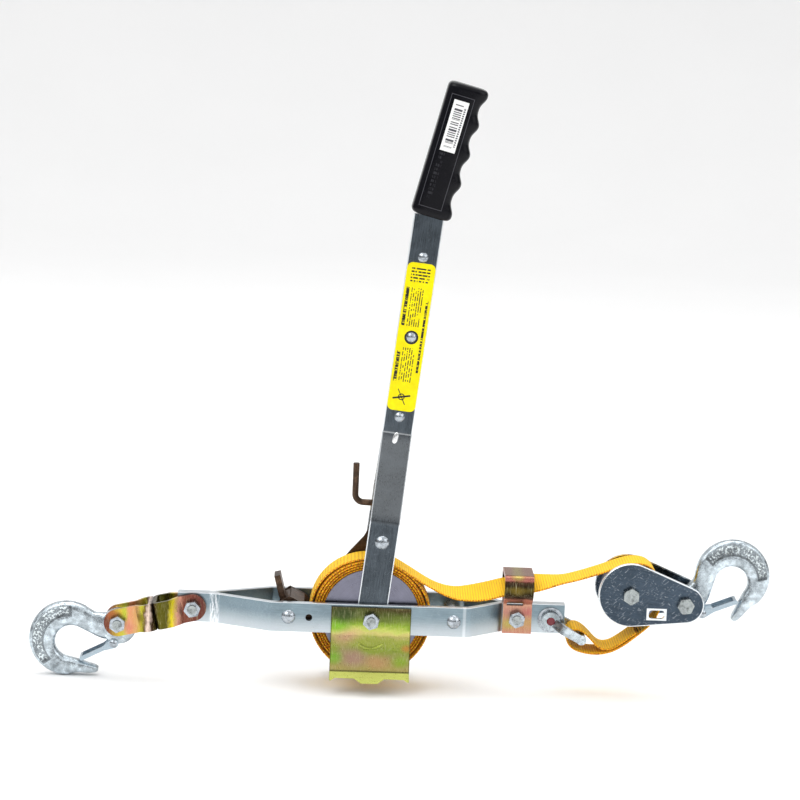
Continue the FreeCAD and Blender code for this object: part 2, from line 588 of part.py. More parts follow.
def latch():
    """Sheet latch: two ears on the pin beside the hook and a channel that closes the throat."""
    reach = math.dist(LATCH_PIVOT, LATCH_TIP)
    inner = HOOK_THICK / 2 + GAP
    outer = inner + LATCH_WALL
    half = LATCH_THICK / 2
    ears = []
    for low in (-outer, inner):
        ear = outline((0.0, -4.0), [(10.0, -half)], [(reach - 1.0, -half)],
                      [(reach, 0.0), (reach - 1.0, half)], [(10.0, half)], [(0.0, 4.0)],
                      [(-4.0, 0.0), (0.0, -4.0)])
        ears.append(spread(ear, low, low + LATCH_WALL, "xz"))
    web = box(10.5, reach - 0.6, -inner - 0.1, inner + 0.1, half - LATCH_WALL, half)
    lip = box(reach - 3.0, reach - 0.6, -inner - 0.1, inner + 0.1, -half, half)
    shape = ears[0].fuse([ears[1], web, lip]).cut(rod(LATCH_PIN_R + FIT, -20, 20)).removeSplitter()
    aim = math.degrees(math.atan2(LATCH_TIP[1] - LATCH_PIVOT[1], LATCH_TIP[0] - LATCH_PIVOT[0]))
    return placed(shape, aim, LATCH_PIVOT)


def latch_pin():
    half = HOOK_THICK / 2 + GAP + LATCH_WALL + 0.05
    return dome_rivet(LATCH_PIVOT, half, LATCH_PIN_R, LATCH_HEAD_R, LATCH_HEAD_HIGH)


def latch_spring():
    """Ring of the latch's torsion spring, round the pin's rear head beside the ear."""
    middle = V(LATCH_PIVOT[0], HOOK_THICK / 2 + GAP + LATCH_WALL + 0.2 + LATCH_WIRE_R, LATCH_PIVOT[1])
    return Part.makeTorus(LATCH_HEAD_R + 0.65, LATCH_WIRE_R, middle, Y_AXIS)


def make_hook(prefix, degrees, at, flip):
    pieces = {"hook": hook(), "latch": latch(), "latch_pin": latch_pin(), "latch_spring": latch_spring()}
    for name, shape in pieces.items():
        if flip:
            shape = shape.mirror(ORIGIN, Z_AXIS)
        save(f"{prefix}_{name}", placed(shape, degrees, at))


# --- Snatch block ------------------------------------------------------------------------------
def block_plate():
    """Front cheek plate: teardrop round the sheave bolt and the hook bolt, with a drain slot."""
    run = math.dist(SHEAVE_AT, BLOCK_BOLT_AT)
    aim = math.degrees(math.atan2(BLOCK_BOLT_AT[1] - SHEAVE_AT[1], BLOCK_BOLT_AT[0] - SHEAVE_AT[0]))
    touch = math.degrees(math.acos((PLATE_BIG_R - PLATE_SMALL_R) / run))
    face = outline(polar(PLATE_BIG_R, aim + touch, SHEAVE_AT),
                   [polar(PLATE_BIG_R, aim + 180, SHEAVE_AT), polar(PLATE_BIG_R, aim - touch, SHEAVE_AT)],
                   [polar(PLATE_SMALL_R, aim - touch, BLOCK_BOLT_AT)],
                   [polar(PLATE_SMALL_R, aim, BLOCK_BOLT_AT),
                    polar(PLATE_SMALL_R, aim + touch, BLOCK_BOLT_AT)],
                   [polar(PLATE_BIG_R, aim + touch, SHEAVE_AT)])
    plate = spread(face, -PLATE_IN - PLATE_THICK, -PLATE_IN, "xz")
    outer_rim = [edge for edge in plate.Edges if abs(edge.CenterOfMass.y + PLATE_IN + PLATE_THICK) < 0.01]
    plate = plate.makeFillet(1.0, outer_rim)
    for x, z in (SHEAVE_AT, BLOCK_BOLT_AT):
        plate = plate.cut(rod(BOLT_R + FIT, -30, 0, x, z))
    x, z, long, high = PLATE_SLOT
    slot = rounded([(x - long / 2, z - high / 2), (x + long / 2, z - high / 2),
                    (x + long / 2, z + high / 2), (x - long / 2, z + high / 2)], high * 0.35)
    return plate.cut(spread(slot, -30, 0, "xz"))


def make_block():
    front = block_plate()
    save("block_plate_front", front)
    save("block_plate_rear", mirrored(front))
    face = PLATE_IN + PLATE_THICK + SEAT
    for name, at, spin in (("sheave", SHEAVE_AT, 28), ("block_hook", BLOCK_BOLT_AT, 8)):
        save(f"{name}_bolt", bolt(at, -face, -1, face + NUT_HIGH + BOLT_PAST_NUT, spin))
        save(f"{name}_nut", nut(at, face, 1, 15))
    half = PLATE_IN - GAP
    sheave = turned([(BUSHING_R + FIT, -half), (SHEAVE_R, -half), (SHEAVE_R, half), (BUSHING_R + FIT, half)],
                    *SHEAVE_AT)
    groove = turned([(11.0, half - 3.0), (SHEAVE_R - 4.0, half - 3.0), (SHEAVE_R - 4.0, half + 1),
                     (11.0, half + 1)], *SHEAVE_AT)
    save("sheave", sheave.cut(groove).cut(mirrored(groove)))
    save("sheave_bushing", tube(BUSHING_R, BOLT_R + FIT / 2, -PLATE_IN + SEAT, PLATE_IN - SEAT, *SHEAVE_AT))
    inner = HOOK_THICK / 2 + GAP
    spacers = [tube(6.5, BOLT_R + FIT / 2, inner, PLATE_IN - SEAT, *BLOCK_BOLT_AT)]
    spacers.append(mirrored(spacers[0]))
    save("block_spacers", Part.makeCompound(spacers))


# --- Shackle -----------------------------------------------------------------------------------
def shackle():
    """Dead-end shackle, drawn with its pin at the origin and its bow towards +X."""
    eye_in, eye_out, arm, bow_at = FRAME_THICK + 1.5, FRAME_THICK + 6.2, 5.0, 29.2
    near, far = (eye_in + eye_out) / 2, STRAP_HALF + 0.7 + arm / 2
    view = [(0.0, -near), (4.5, -near), (12.5, -far), (bow_at, -far)]
    front = bent_bar(view, arm - 0.3, 3.0, -3.8, 3.8, "xy")
    front = front.fuse(rod(8.0, -eye_out, -eye_in))
    bow = rod(4.0, -far - 2.2, far + 2.2, bow_at)
    ends = [rod(4.2, -far - arm / 2, -far + arm / 2, bow_at), rod(4.2, far - arm / 2, far + arm / 2, bow_at)]
    shape = front.fuse([mirrored(front), bow] + ends).removeSplitter()
    return shape.cut(rod(SHACKLE_PIN_R + FIT, -20, 20))


def make_shackle():
    save("shackle", placed(shackle(), -26.5, SHACKLE_PIN))
    washers = [tube(11.0, SHACKLE_PIN_R + FIT, FRAME_THICK + 0.02, FRAME_THICK + 1.2, *SHACKLE_PIN)]
    washers.append(mirrored(washers[0]))
    save("shackle_washers", Part.makeCompound(washers))
    end = FRAME_THICK + 6.9
    pin = turned([(0, -end), (SHACKLE_PIN_R - 0.7, -end), (SHACKLE_PIN_R, -end + 0.7),
                  (SHACKLE_PIN_R, end - 0.7), (SHACKLE_PIN_R - 0.7, end), (0, end)], *SHACKLE_PIN)
    save("shackle_pin", pin)


# --- Strap -------------------------------------------------------------------------------------
def make_strap():
    """The strap's free run over the sheave, and its sewn eye round the shackle's bow."""
    radii = easy_radii(STRAP_RUN)
    radii[0] = WINDING_R + STRAP_THICK / 2
    radii[STRAP_RUN.index(SHEAVE_CORNER) - 1] = SHEAVE_R + GAP + STRAP_THICK / 2
    eye_radii = easy_radii(STRAP_EYE)
    for name, route, bends in (("strap_run", STRAP_RUN, radii), ("strap_eye", STRAP_EYE, eye_radii)):
        solid = spread(strip(route, STRAP_THICK, bends), -STRAP_HALF, STRAP_HALF, "xz")
        save(name, solid)
        length = solid.Volume / (STRAP_THICK * STRAP_WIDTH)
        print(f"{name}: length {length:.1f} mm, radii {[round(r, 1) for r in bends]}")


os.makedirs("parts", exist_ok=True)
make_frame()
make_drum()
make_holding_pawl()
make_drive_pawl()
make_lever()
make_yoke()
make_hook("anchor", ANCHOR_HOOK_TURN, polar(YOKE_LONG, YOKE_TURN, YOKE_BOLT), False)
make_block()
make_hook("load", LOAD_HOOK_TURN, BLOCK_BOLT_AT, True)
make_shackle()
make_strap()
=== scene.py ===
"""Looks of the come along winch: woven strap, forged hooks, moulded grip and the finish of every part.

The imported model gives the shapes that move. This file dresses them, replaces the soft and the forged
parts with smooth surfaces, and sets a plain studio round them. Lengths are in metres. Shapes are drawn
in millimetres about the drum shaft, or about a hook's eye, and are placed where the joints are.
"""

import json
import math

import bpy
import numpy as np
from mathutils import Matrix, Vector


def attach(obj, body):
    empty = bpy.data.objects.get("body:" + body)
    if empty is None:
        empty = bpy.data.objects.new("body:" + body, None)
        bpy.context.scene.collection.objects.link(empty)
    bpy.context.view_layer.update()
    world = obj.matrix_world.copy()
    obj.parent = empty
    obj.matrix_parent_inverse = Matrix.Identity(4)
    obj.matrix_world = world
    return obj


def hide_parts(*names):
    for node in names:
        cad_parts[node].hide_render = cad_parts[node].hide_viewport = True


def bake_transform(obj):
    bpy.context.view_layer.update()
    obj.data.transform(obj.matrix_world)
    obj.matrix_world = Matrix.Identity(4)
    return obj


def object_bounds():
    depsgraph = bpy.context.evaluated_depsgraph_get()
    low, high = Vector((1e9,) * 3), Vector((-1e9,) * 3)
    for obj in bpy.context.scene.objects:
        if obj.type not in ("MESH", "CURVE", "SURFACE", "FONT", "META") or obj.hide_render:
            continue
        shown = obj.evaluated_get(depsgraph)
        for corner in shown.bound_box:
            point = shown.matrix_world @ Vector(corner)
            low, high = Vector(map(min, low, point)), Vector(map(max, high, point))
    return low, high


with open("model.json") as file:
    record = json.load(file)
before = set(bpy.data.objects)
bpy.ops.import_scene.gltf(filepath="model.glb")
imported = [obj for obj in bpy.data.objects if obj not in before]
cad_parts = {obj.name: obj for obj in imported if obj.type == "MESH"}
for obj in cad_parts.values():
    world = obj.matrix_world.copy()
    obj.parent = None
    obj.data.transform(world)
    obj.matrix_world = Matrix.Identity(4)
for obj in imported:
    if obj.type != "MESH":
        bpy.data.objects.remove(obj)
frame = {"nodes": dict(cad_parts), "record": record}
CAD_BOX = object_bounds()

bl_info = {
    "name": "Come along winch",
    "version": (1, 0, 0),
    "blender": (4, 5, 0),
    "location": "View3D > Sidebar > Winch",
    "description": "Builds the looks of a hand lever strap winch round its packed model",
    "category": "Object",
}

MM = 0.001
JOINTS = {joint["name"]: joint for joint in frame["record"]["behaviour"]["joints"]}
LEVER_LEAN = math.radians(6.0)
GRIP_LEAN = math.radians(8.4)
GRIP_FOOT = 344.0
# Block cheek: radii of its two ends, how far apart they are, how it leans, its drain slot's middle, and
# half the length and height of the painted highlight on the rim round the slot.
CHEEK_BIG, CHEEK_SMALL, CHEEK_RUN = 27.65, 16.0, 47.72
CHEEK_AIM = math.radians(8.44)
CHEEK_SLOT = (244.4, 0.0, 10.6)
SLOT_RIM_HIGHLIGHT = (8.6, 5.2)
# Half the width of the frame bars; where the painted highlights on the lever's rounded edges start, and where
# the painted highlight on its fold is.
BAR_HALF = 12.7
LEVER_EDGE, LEVER_FOLD = 11.9, (157.6, 158.8)


def joint_at(name):
    """Where a joint turns, as a vector in metres."""
    return np.array(JOINTS[name]["pos_m"], float)


SHAFT = joint_at("drum_spin")


def colour_setting(name, description, *colour):
    return bpy.props.FloatVectorProperty(name=name, description=description, default=colour, size=3,
                                         subtype="COLOR", min=0, max=1)


def length_setting(name, description, metres):
    return bpy.props.FloatProperty(name=name, description=description, default=metres, unit="LENGTH",
                                   subtype="DISTANCE")


def millimetre_setting(name, description, size):
    return bpy.props.FloatProperty(name=name, description=f"{description}, in mm", default=size)


def angle_setting(name, description, degrees):
    return bpy.props.FloatProperty(name=name, description=description, default=math.radians(degrees),
                                   subtype="ANGLE")


def put(name, data):
    """A new object in the scene."""
    made = bpy.data.objects.new(name, data)
    bpy.context.scene.collection.objects.link(made)
    return made


# --- Shader expressions ---
def math_node(operation):
    """A method of Wire that adds one Math node."""
    return lambda self, other: self.math(operation, other)


class Wire:
    """One value in a material, so that it can be written in a Python expression."""

    def __init__(self, recipe, socket):
        self.recipe, self.socket = recipe, socket

    def math(self, operation, *others, clamp=False):
        values = dict(enumerate((self, *others)))
        return self.recipe.node("ShaderNodeMath", {"operation": operation, "use_clamp": clamp}, values)

    __add__ = __radd__ = math_node("ADD")
    __mul__ = __rmul__ = math_node("MULTIPLY")
    __sub__, __truediv__ = math_node("SUBTRACT"), math_node("DIVIDE")
    __gt__, __lt__ = math_node("GREATER_THAN"), math_node("LESS_THAN")

    def __rsub__(self, other):
        return self.recipe.node("ShaderNodeMath", {"operation": "SUBTRACT"}, {0: other, 1: self})

    def __abs__(self):
        return self.math("ABSOLUTE")

    def clamped(self):
        return self.math("ADD", 0.0, clamp=True)

    def far_from(self, other):
        """Length of the vector whose two parts are this value and another."""
        return (self * self + other * other).math("SQRT")

    def between(self, low, high):
        return (self > low) * (self < high)

    def hump(self, low, full, falling, high):
        """A smooth rise to 1, then a smooth fall back to 0."""
        return self.rising(low, full) * (1.0 - self.rising(falling, high))

    def cell(self, size):
        """Number of the cell this value is in, when cells of a size lie side by side."""
        return (self / size).math("FLOOR")

    def part(self, size):
        """How far through its cell this value is, from 0 to 1."""
        return (self / size).math("FRACT")

    def rising(self, low, high):
        """0 below low, 1 above high and a smooth rise between them."""
        settings = {"interpolation_type": "SMOOTHSTEP"}
        return self.recipe.node("ShaderNodeMapRange", settings, {"Value": self, 1: low, 2: high})


class Recipe:
    """A material that is being mixed."""

    def __init__(self, name):
        self.material = bpy.data.materials.new(name)
        self.material.use_nodes = True
        self.tree = self.material.node_tree
        self.shader = self.tree.nodes["Principled BSDF"]

    def node(self, kind, settings=None, values=None, out=0):
        """Add a node, set it up, then feed its sockets with numbers or wires."""
        made = self.tree.nodes.new(kind)
        for key, value in (settings or {}).items():
            if key == "stops":
                ramp = made.color_ramp.elements
                while len(ramp) < len(value):
                    ramp.new(0.5)
                for stop, (place, colour) in zip(ramp, value):
                    stop.position, stop.color = place, (*colour, 1.0)
            else:
                setattr(made, key, value)
        for key, value in (values or {}).items():
            self.feed(made.inputs[key], value)
        return Wire(self, made.outputs[out])

    def feed(self, socket, value):
        if isinstance(value, Wire):
            self.tree.links.new(value.socket, socket)
        elif hasattr(value, "__len__") and socket.type == "RGBA":
            socket.default_value = (*value, 1.0) if len(value) == 3 else value
        else:
            socket.default_value = value

    def place(self, at=(0, 0, 0), turn=(0, 0, 0), size=(1, 1, 1)):
        """Object coordinates measured from a point, in millimetres, turned and stretched."""
        where = self.node("ShaderNodeTexCoord", out=3)
        scale = tuple(MM * s for s in size)
        values = {"Vector": where, "Location": tuple(at), "Rotation": turn, "Scale": scale}
        return self.node("ShaderNodeMapping", {"vector_type": "TEXTURE"}, values)

    def own_map(self):
        """The piece's own map, as its first two axes."""
        return self.axes(self.node("ShaderNodeTexCoord", out=2))[:2]

    def point(self, x, y, z):
        return self.node("ShaderNodeCombineXYZ", None, {0: x, 1: y, 2: z})

    def axes(self, vector):
        made = self.tree.nodes.new("ShaderNodeSeparateXYZ")
        self.feed(made.inputs[0], vector)
        return [Wire(self, out) for out in made.outputs]

    def noise(self, vector, scale, detail=3.0, roughness=0.55, bend=0.0):
        values = {"Vector": vector, "Scale": scale, "Detail": detail, "Roughness": roughness,
                  "Distortion": bend}
        return self.node("ShaderNodeTexNoise", None, values)

    def ramp(self, factor, *stops):
        return self.node("ShaderNodeValToRGB", {"stops": stops}, {0: factor})

    def shades(self, factor, colour, *stops):
        """A ramp of one colour, darker or paler by a factor at each stop."""
        return self.ramp(factor, *((place, tint(colour, times)) for place, times in stops))

    def mix(self, factor, first, second, blend="MIX"):
        settings = {"data_type": "RGBA", "blend_type": blend, "clamp_factor": True}
        return self.node("ShaderNodeMix", settings, {0: factor, 6: first, 7: second}, out=2)

    def finish(self, colour, roughness, metallic=0.0, height=None, depth=0.1, **sockets):
        """Join the worked-out values to the shader; height is bumped by depth millimetres."""
        self.feed(self.shader.inputs["Base Color"], colour)
        self.feed(self.shader.inputs["Roughness"], roughness)
        self.feed(self.shader.inputs["Metallic"], metallic)
        for name, value in sockets.items():
            self.feed(self.shader.inputs[name.replace("_", " ").title().replace("Ior", "IOR")], value)
        if height is not None:
            values = {"Strength": 1.0, "Distance": depth * MM, "Height": height}
            self.feed(self.shader.inputs["Normal"], self.node("ShaderNodeBump", None, values))
        return self.material


def swing(middle, *parts):
    """A middle value that swings with noises, each times its own size."""
    for noise, size in parts:
        middle = (noise - 0.5) * size + middle
    return middle.clamped()


def tint(colour, factor):
    """The colour times a factor, no brighter than 1."""
    return tuple(min(1.0, c * factor) for c in colour)


def brushed_metal(name, colour, grain, at=(0, 0, 0), lean=0.0, roughness=0.34, cloudy=0.3, scratches=0.5,
                  glints=None):
    """Rolled or ground steel: fine streaks along the grain, soft clouds and a few bright scratches.

    Glints is a function that works out where the metal gets painted highlights.
    """
    mix = Recipe(name)
    size = tuple(14.0 if axis == grain else 0.55 for axis in "XYZ")
    along = mix.place(at, (0, lean, 0), size)
    plain = mix.place(at, (0, lean, 0))
    streaks = mix.noise(along, 1.0, 4.0, 0.62)
    clouds = mix.noise(plain, 0.035, 4.0, 0.6)
    marks = mix.noise(mix.place(at, (0.5, lean + 0.5, 0.3), (9.0, 0.5, 0.5)), 0.6, 2.0, 0.5, 0.4)
    other = mix.noise(mix.place(at, (0.9, lean - 0.9, 0.1), (7.0, 0.4, 0.4)), 0.7, 2.0, 0.5, 0.4)
    marks = (marks.rising(0.64, 0.70) + other.rising(0.64, 0.70)).clamped() * scratches
    shade = mix.shades(clouds * 0.5 + streaks * 0.5, colour, (0.32, 1 - cloudy), (0.5, 1), (0.68, 1 + cloudy))
    shade = mix.mix(marks, shade, (0.50, 0.55, 0.60))
    # Painted highlights: where glints says, the metal is painted near white.
    if glints:
        shade = mix.mix(glints(mix).clamped(), shade, (0.86, 0.90, 0.93))
    rough = swing(roughness, (streaks, 0.25), (clouds, 0.18))
    return mix.finish(shade, rough, 1.0, streaks + marks * 1.5, 0.03)


def lever_glints(mix):
    """Painted highlights along the lever bar's two rounded long edges and at its fold; the bar is also paler
    down its kick.
    """
    x, _, up = mix.axes(mix.place(SHAFT, (0, LEVER_LEAN, 0)))
    kick = up.hump(80.0, 92.0, 150.0, 162.0) * 0.2
    # Painted highlights on the rounded edges and the fold.
    return (abs(x) > LEVER_EDGE) * 0.85 + kick + up.between(*LEVER_FOLD) * 0.6


def bar_glints(mix):
    """Frame bars: paler towards the lower edge, a painted highlight on the upper corner and painted
    highlights at the two bends, the left one broken into streaks.
    """
    x, _, z = mix.axes(mix.place(SHAFT))
    scuffs_and_sheen = mix.noise(mix.place(SHAFT, (0, 0, 0), (1.0, 1.0, 7.0)), 0.8, 3.0, 0.7).rising(0.42, 0.6)
    # Painted highlights at the two bends, the left one broken into streaks.
    left = x.hump(-139.5, -136.5, -133.0, -129.0) * scuffs_and_sheen
    low = (1.0 - z.rising(-BAR_HALF, 5.0)) * 0.5
    right = x.hump(77.5, 79.0, 80.0, 81.5) * 0.3
    # Painted highlight along the upper corner.
    return left + low + right + (z > BAR_HALF - 0.6) * 0.7


def cheek_glints(mix):
    """Block cheeks: the rounded rim of the teardrop and the rim of the drain slot get painted highlights.

    The distance to the rim is that of a capsule with a big and a small end: the circle of the nearer
    end beyond either end's last radius, and the slanted side between them.
    """
    u, _, v = mix.axes(mix.place(joint_at("sheave_spin"), (0, CHEEK_AIM, 0)))
    side = abs(v)
    slope = (CHEEK_BIG - CHEEK_SMALL) / CHEEK_RUN
    level = math.sqrt(1 - slope * slope)
    where = u * level - side * slope
    big, small = where < 0.0, where > level * CHEEK_RUN
    flank = (side * level + u * slope - CHEEK_BIG) * (1.0 - big) * (1.0 - small)
    far = flank + (u.far_from(v) - CHEEK_BIG) * big + ((u - CHEEK_RUN).far_from(v) - CHEEK_SMALL) * small
    x, _, z = mix.axes(mix.place(SHAFT + np.array(CHEEK_SLOT) * MM))
    slot = (abs(x) < SLOT_RIM_HIGHLIGHT[0]) * (abs(z) < SLOT_RIM_HIGHLIGHT[1])
    # Painted highlights on the teardrop's rim and round the slot.
    return (far > -0.95) * 0.95 + slot * 0.9


def turned_metal(name, colour, at):
    """Metal faced on a lathe: rings round the axis at a point, over faint blotches."""
    mix = Recipe(name)
    place = mix.place(at)
    x, _, z = mix.axes(place)
    rings = mix.noise(mix.point(x.far_from(z) * 0.9, 0.0, 0.0), 1.0, 5.0, 0.7)
    blotches = mix.noise(place, 0.07, 4.0, 0.6)
    shade = mix.shades(blotches * 0.55 + rings * 0.45, colour, (0.3, 0.72), (0.55, 1), (0.72, 1.22))
    return mix.finish(shade, swing(0.3, (rings, 0.2), (blotches, 0.25)), 1.0, rings, 0.03)


def plated_metal(name, colour):
    """Zinc plated fasteners and wire: small crystals and worn corners in a near mirror."""
    mix = Recipe(name)
    place = mix.place()
    grain = mix.noise(place, 1.1, 3.0, 0.6)
    worn = mix.noise(place, 0.25, 4.0, 0.65)
    shade = mix.shades(worn * 0.7 + grain * 0.3, colour, (0.32, 0.32), (0.5, 1), (0.68, 1.35))
    return mix.finish(shade, swing(0.26, (grain, 0.2)), 1.0, grain, 0.02)


# Sections of the hook between which its panel lies.
PANEL = (32.0, 80.0)


def forged_metal(name, colour, panel=False):
    """Drop forging under zinc: hammered swells, pits and dull patches, with pebbles in the sunk panel; the
    panel gets painted shade, its pebbles painted highlights and its edge a painted shadow line.

    The panel is found on the piece's own map: x runs round the section, y counts the sections.
    """
    mix = Recipe(name)
    place = mix.place()
    swells = mix.noise(place, 0.1, 3.0, 0.55)
    pits = mix.noise(place, 1.3, 4.0, 0.7)
    frost = mix.noise(place, 0.3, 3.0, 0.6)
    shade = mix.shades(swells * 0.6 + frost * 0.4, colour, (0.34, 0.5), (0.5, 1), (0.62, 1.6))
    shade = mix.mix(pits.rising(0.6, 0.7) * 0.5, shade, tint(colour, 0.35))
    height = swells * 2.0 + pits * 0.5
    if panel:
        around, along = mix.own_map()
        low, high = PANEL
        off = abs(abs(around - 0.5) - 0.294)
        inside = (off < 0.044) * along.between(low, high)
        line = (off < 0.056) * along.between(low - 2, high + 2) * (1.0 - inside)
        pebbles = mix.noise(place, 0.55, 1.0, 0.4).rising(0.5, 0.56)
        # Painted shade in the sunk panel, left off the pebbles.
        shade = mix.mix(inside * (1.0 - pebbles) * 0.65, shade, tint(colour, 0.28))
        # Painted highlights on the raised pebbles.
        shade = mix.mix(inside * pebbles * 0.5, shade, tint(colour, 2.0))
        # Painted shadow line round the panel's edge.
        shade = mix.mix(line * 0.7, shade, tint(colour, 0.2))
        height = height + inside * pebbles * 2.0
    return mix.finish(shade, swing(0.26, (frost, 0.3), (pits, 0.12)), 1.0, height, 0.3)


def yellow_chromate(name, at, axis, bands, spots, stretch=(1, 1, 1), drift=0.05, edges=None, crease=None):
    """Iridescent passivated zinc: bands of colour along an axis, broken by drifting patches.

    Each band is a place in millimetres from a point and a colour, and each spot a place (x, z), a
    radius and a colour. Edges is the half width beyond which the sheet's rounded sides get painted
    shade, and crease the height of a painted shadow line along the fold, above a lip painted paler,
    partly its own colour and partly painted light where it faces up.
    """
    mix = Recipe(name)
    x, _, z = mix.axes(mix.place(at))
    place = mix.place(at, (0, 0, 0), stretch)
    wander = mix.noise(place, 0.07, 3.0, 0.55, 0.8)
    fine = mix.noise(place, 0.5, 3.0, 0.6)
    low = bands[0][0]
    reach = bands[-1][0] - low
    way = ((x if axis == "X" else z) - low) / reach + (wander - 0.5) * drift + (fine - 0.5) * 0.05
    shade = mix.ramp(way.clamped(), *(((stop - low) / reach, colour) for stop, *colour in bands))
    for spot_x, spot_z, radius, *colour in spots:
        out = (x - spot_x).far_from((z - spot_z) * 1.4) + (wander - 0.5) * radius
        shade = mix.mix((1.0 - out.rising(radius * 0.1, radius * 1.25)) * 0.8, shade, colour)
    lines = mix.noise(mix.place(at, (0, 0, 0), (0.5, 0.5, 9.0)), 1.0, 3.0, 0.6)
    shade = mix.mix(lines.rising(0.5, 0.75) * 0.35, shade, (0.80, 0.74, 0.45))
    if edges:
        # Painted shade on the sheet's rounded sides.
        shade = mix.mix((abs(x) > edges) * 0.7, shade, (0.05, 0.03, 0.01))
    if crease:
        # The lip painted paler: partly its own colour, partly painted light where it faces up.
        shade = mix.mix((z < crease) * 0.7, shade, (0.42, 0.48, 0.10))
        # Painted shadow line along the fold.
        shade = mix.mix((abs(z - crease) < 0.6) * 0.75, shade, (0.05, 0.045, 0.015))
    return mix.finish(shade, swing(0.3, (fine, 0.2), (lines, 0.15)), 0.9, lines + fine, 0.04)


def oxide_metal(name, colour):
    """Dark brown heat oxide on the pawls, rubbed bright in places."""
    mix = Recipe(name)
    place = mix.place()
    scale = mix.noise(place, 0.22, 4.0, 0.6)
    grit = mix.noise(place, 1.6, 3.0, 0.6)
    shade = mix.shades(scale * 0.7 + grit * 0.3, colour, (0.34, 0.45), (0.52, 1), (0.68, 2.4))
    return mix.finish(shade, swing(0.42, (grit, 0.3)), 0.75, grit + scale, 0.08)


def webbing(name, colour, edge, stitches=None):
    """Woven strap: ribs across it, yarns along it, knitted edges, and rows of dark stitching."""
    mix = Recipe(name)
    across, along = mix.own_map()
    ribs = (along * (2 * math.pi / 2.2)).math("SINE") * 0.5 + 0.5
    yarns = (across * (2 * math.pi * 19) + ribs * 1.4).math("SINE") * 0.5 + 0.5
    fuzz = mix.noise(mix.place(), 0.9, 4.0, 0.65)
    soft = mix.noise(mix.place(), 0.06, 3.0, 0.5)
    weave = ribs * 0.6 + yarns * 0.4
    shade = mix.shades(weave * 0.5 + fuzz * 0.3 + soft * 0.2, colour, (0.25, 0.5), (0.48, 1), (0.75, 1.12))
    rim = abs(across - 0.5).rising(0.455, 0.475)
    knit = (along * (2 * math.pi / 2.3)).math("SINE").rising(-0.2, 0.4)
    dots = mix.noise(mix.place(), 0.75, 2.0, 0.6).rising(0.52, 0.6)
    shade = mix.mix(rim, shade, mix.mix(knit, edge, tint(colour, 0.95)))
    shade = mix.mix(rim * dots * 0.8, shade, (0.16, 0.03, 0.0))
    height = weave * (1.0 - rim) + knit * rim * 1.2
    if stitches:
        dashes = ((across * 7.0).math("FRACT") < 0.72) * (along.part(2.6) < 0.36)
        sewn = dashes * along.between(*stitches) * across.between(0.06, 0.94)
        shade = mix.mix(sewn, shade, (0.03, 0.02, 0.01))
        height = height - sewn * 1.5
    return mix.finish(shade, 0.78 + (fuzz - 0.5) * 0.2, 0.0, height, 0.4, sheen_weight=0.05,
                      sheen_roughness=0.4)


def vinyl(name, colour, depth=0.05, relief=None, **sockets):
    """Moulded vinyl: a fine orange-peel gloss with faint scuffs.

    Relief is a function that works out the finished shade and height from the plain ones.
    """
    mix = Recipe(name)
    peel = mix.noise(mix.place(), 0.8, 2.0, 0.5)
    stretched = mix.place((0, 0, 0), (0.2, 0.6, 0.1), (6.0, 0.8, 0.8))
    scuffs_and_sheen = mix.noise(stretched, 0.5, 4.0, 0.7).rising(0.6, 0.75)
    shade = mix.mix(scuffs_and_sheen * 0.3, colour, (0.02, 0.02, 0.024))
    if relief:
        shade, peel = relief(mix, shade, peel)
    return mix.finish(shade, 0.2 + scuffs_and_sheen * 0.2, 0.0, peel, depth, **sockets)


def grip_axes(mix):
    """Across and up the grip, in millimetres from its foot."""
    foot = turned(np.array([0.0, 0.0, GRIP_FOOT]), -LEVER_LEAN, SHAFT)
    x, _, up = mix.axes(mix.place(foot, (0, LEVER_LEAN + GRIP_LEAN, 0)))
    return x, up


# Millimetres from one raised mark on the grip to the next.
MARK_PITCH = 3.4


def grip_relief(mix, shade, peel):
    """A fine groove round the panel on the grip's face, with rows of small raised marks inside it."""
    x, up = grip_axes(mix)
    within = x.between(-12.2, 7.8) * up.between(9.0, 106.0)
    groove = within * (1.0 - x.between(-11.6, 7.2) * up.between(9.6, 105.4))
    cell = mix.point(x * 0.8, up.cell(MARK_PITCH) * 3.7, 0.0)
    raised = (mix.noise(cell, 1.0, 1.0, 0.5) > 0.5) * (up.part(MARK_PITCH) < 0.6)
    raised = raised * x.between(-8.0, -3.5) * up.between(16.0, 58.0)
    shade = mix.mix((groove * 0.8 + raised * 0.35).clamped(), shade, (0.07, 0.07, 0.08))
    return shade, peel * 0.3 + raised - groove


# The label: from one row of dashes to the next, from one row of its note to the next, the rivet's height.
LINE_PITCH, NOTE_PITCH, LABEL_RIVET = 1.9, 2.7, 241.6


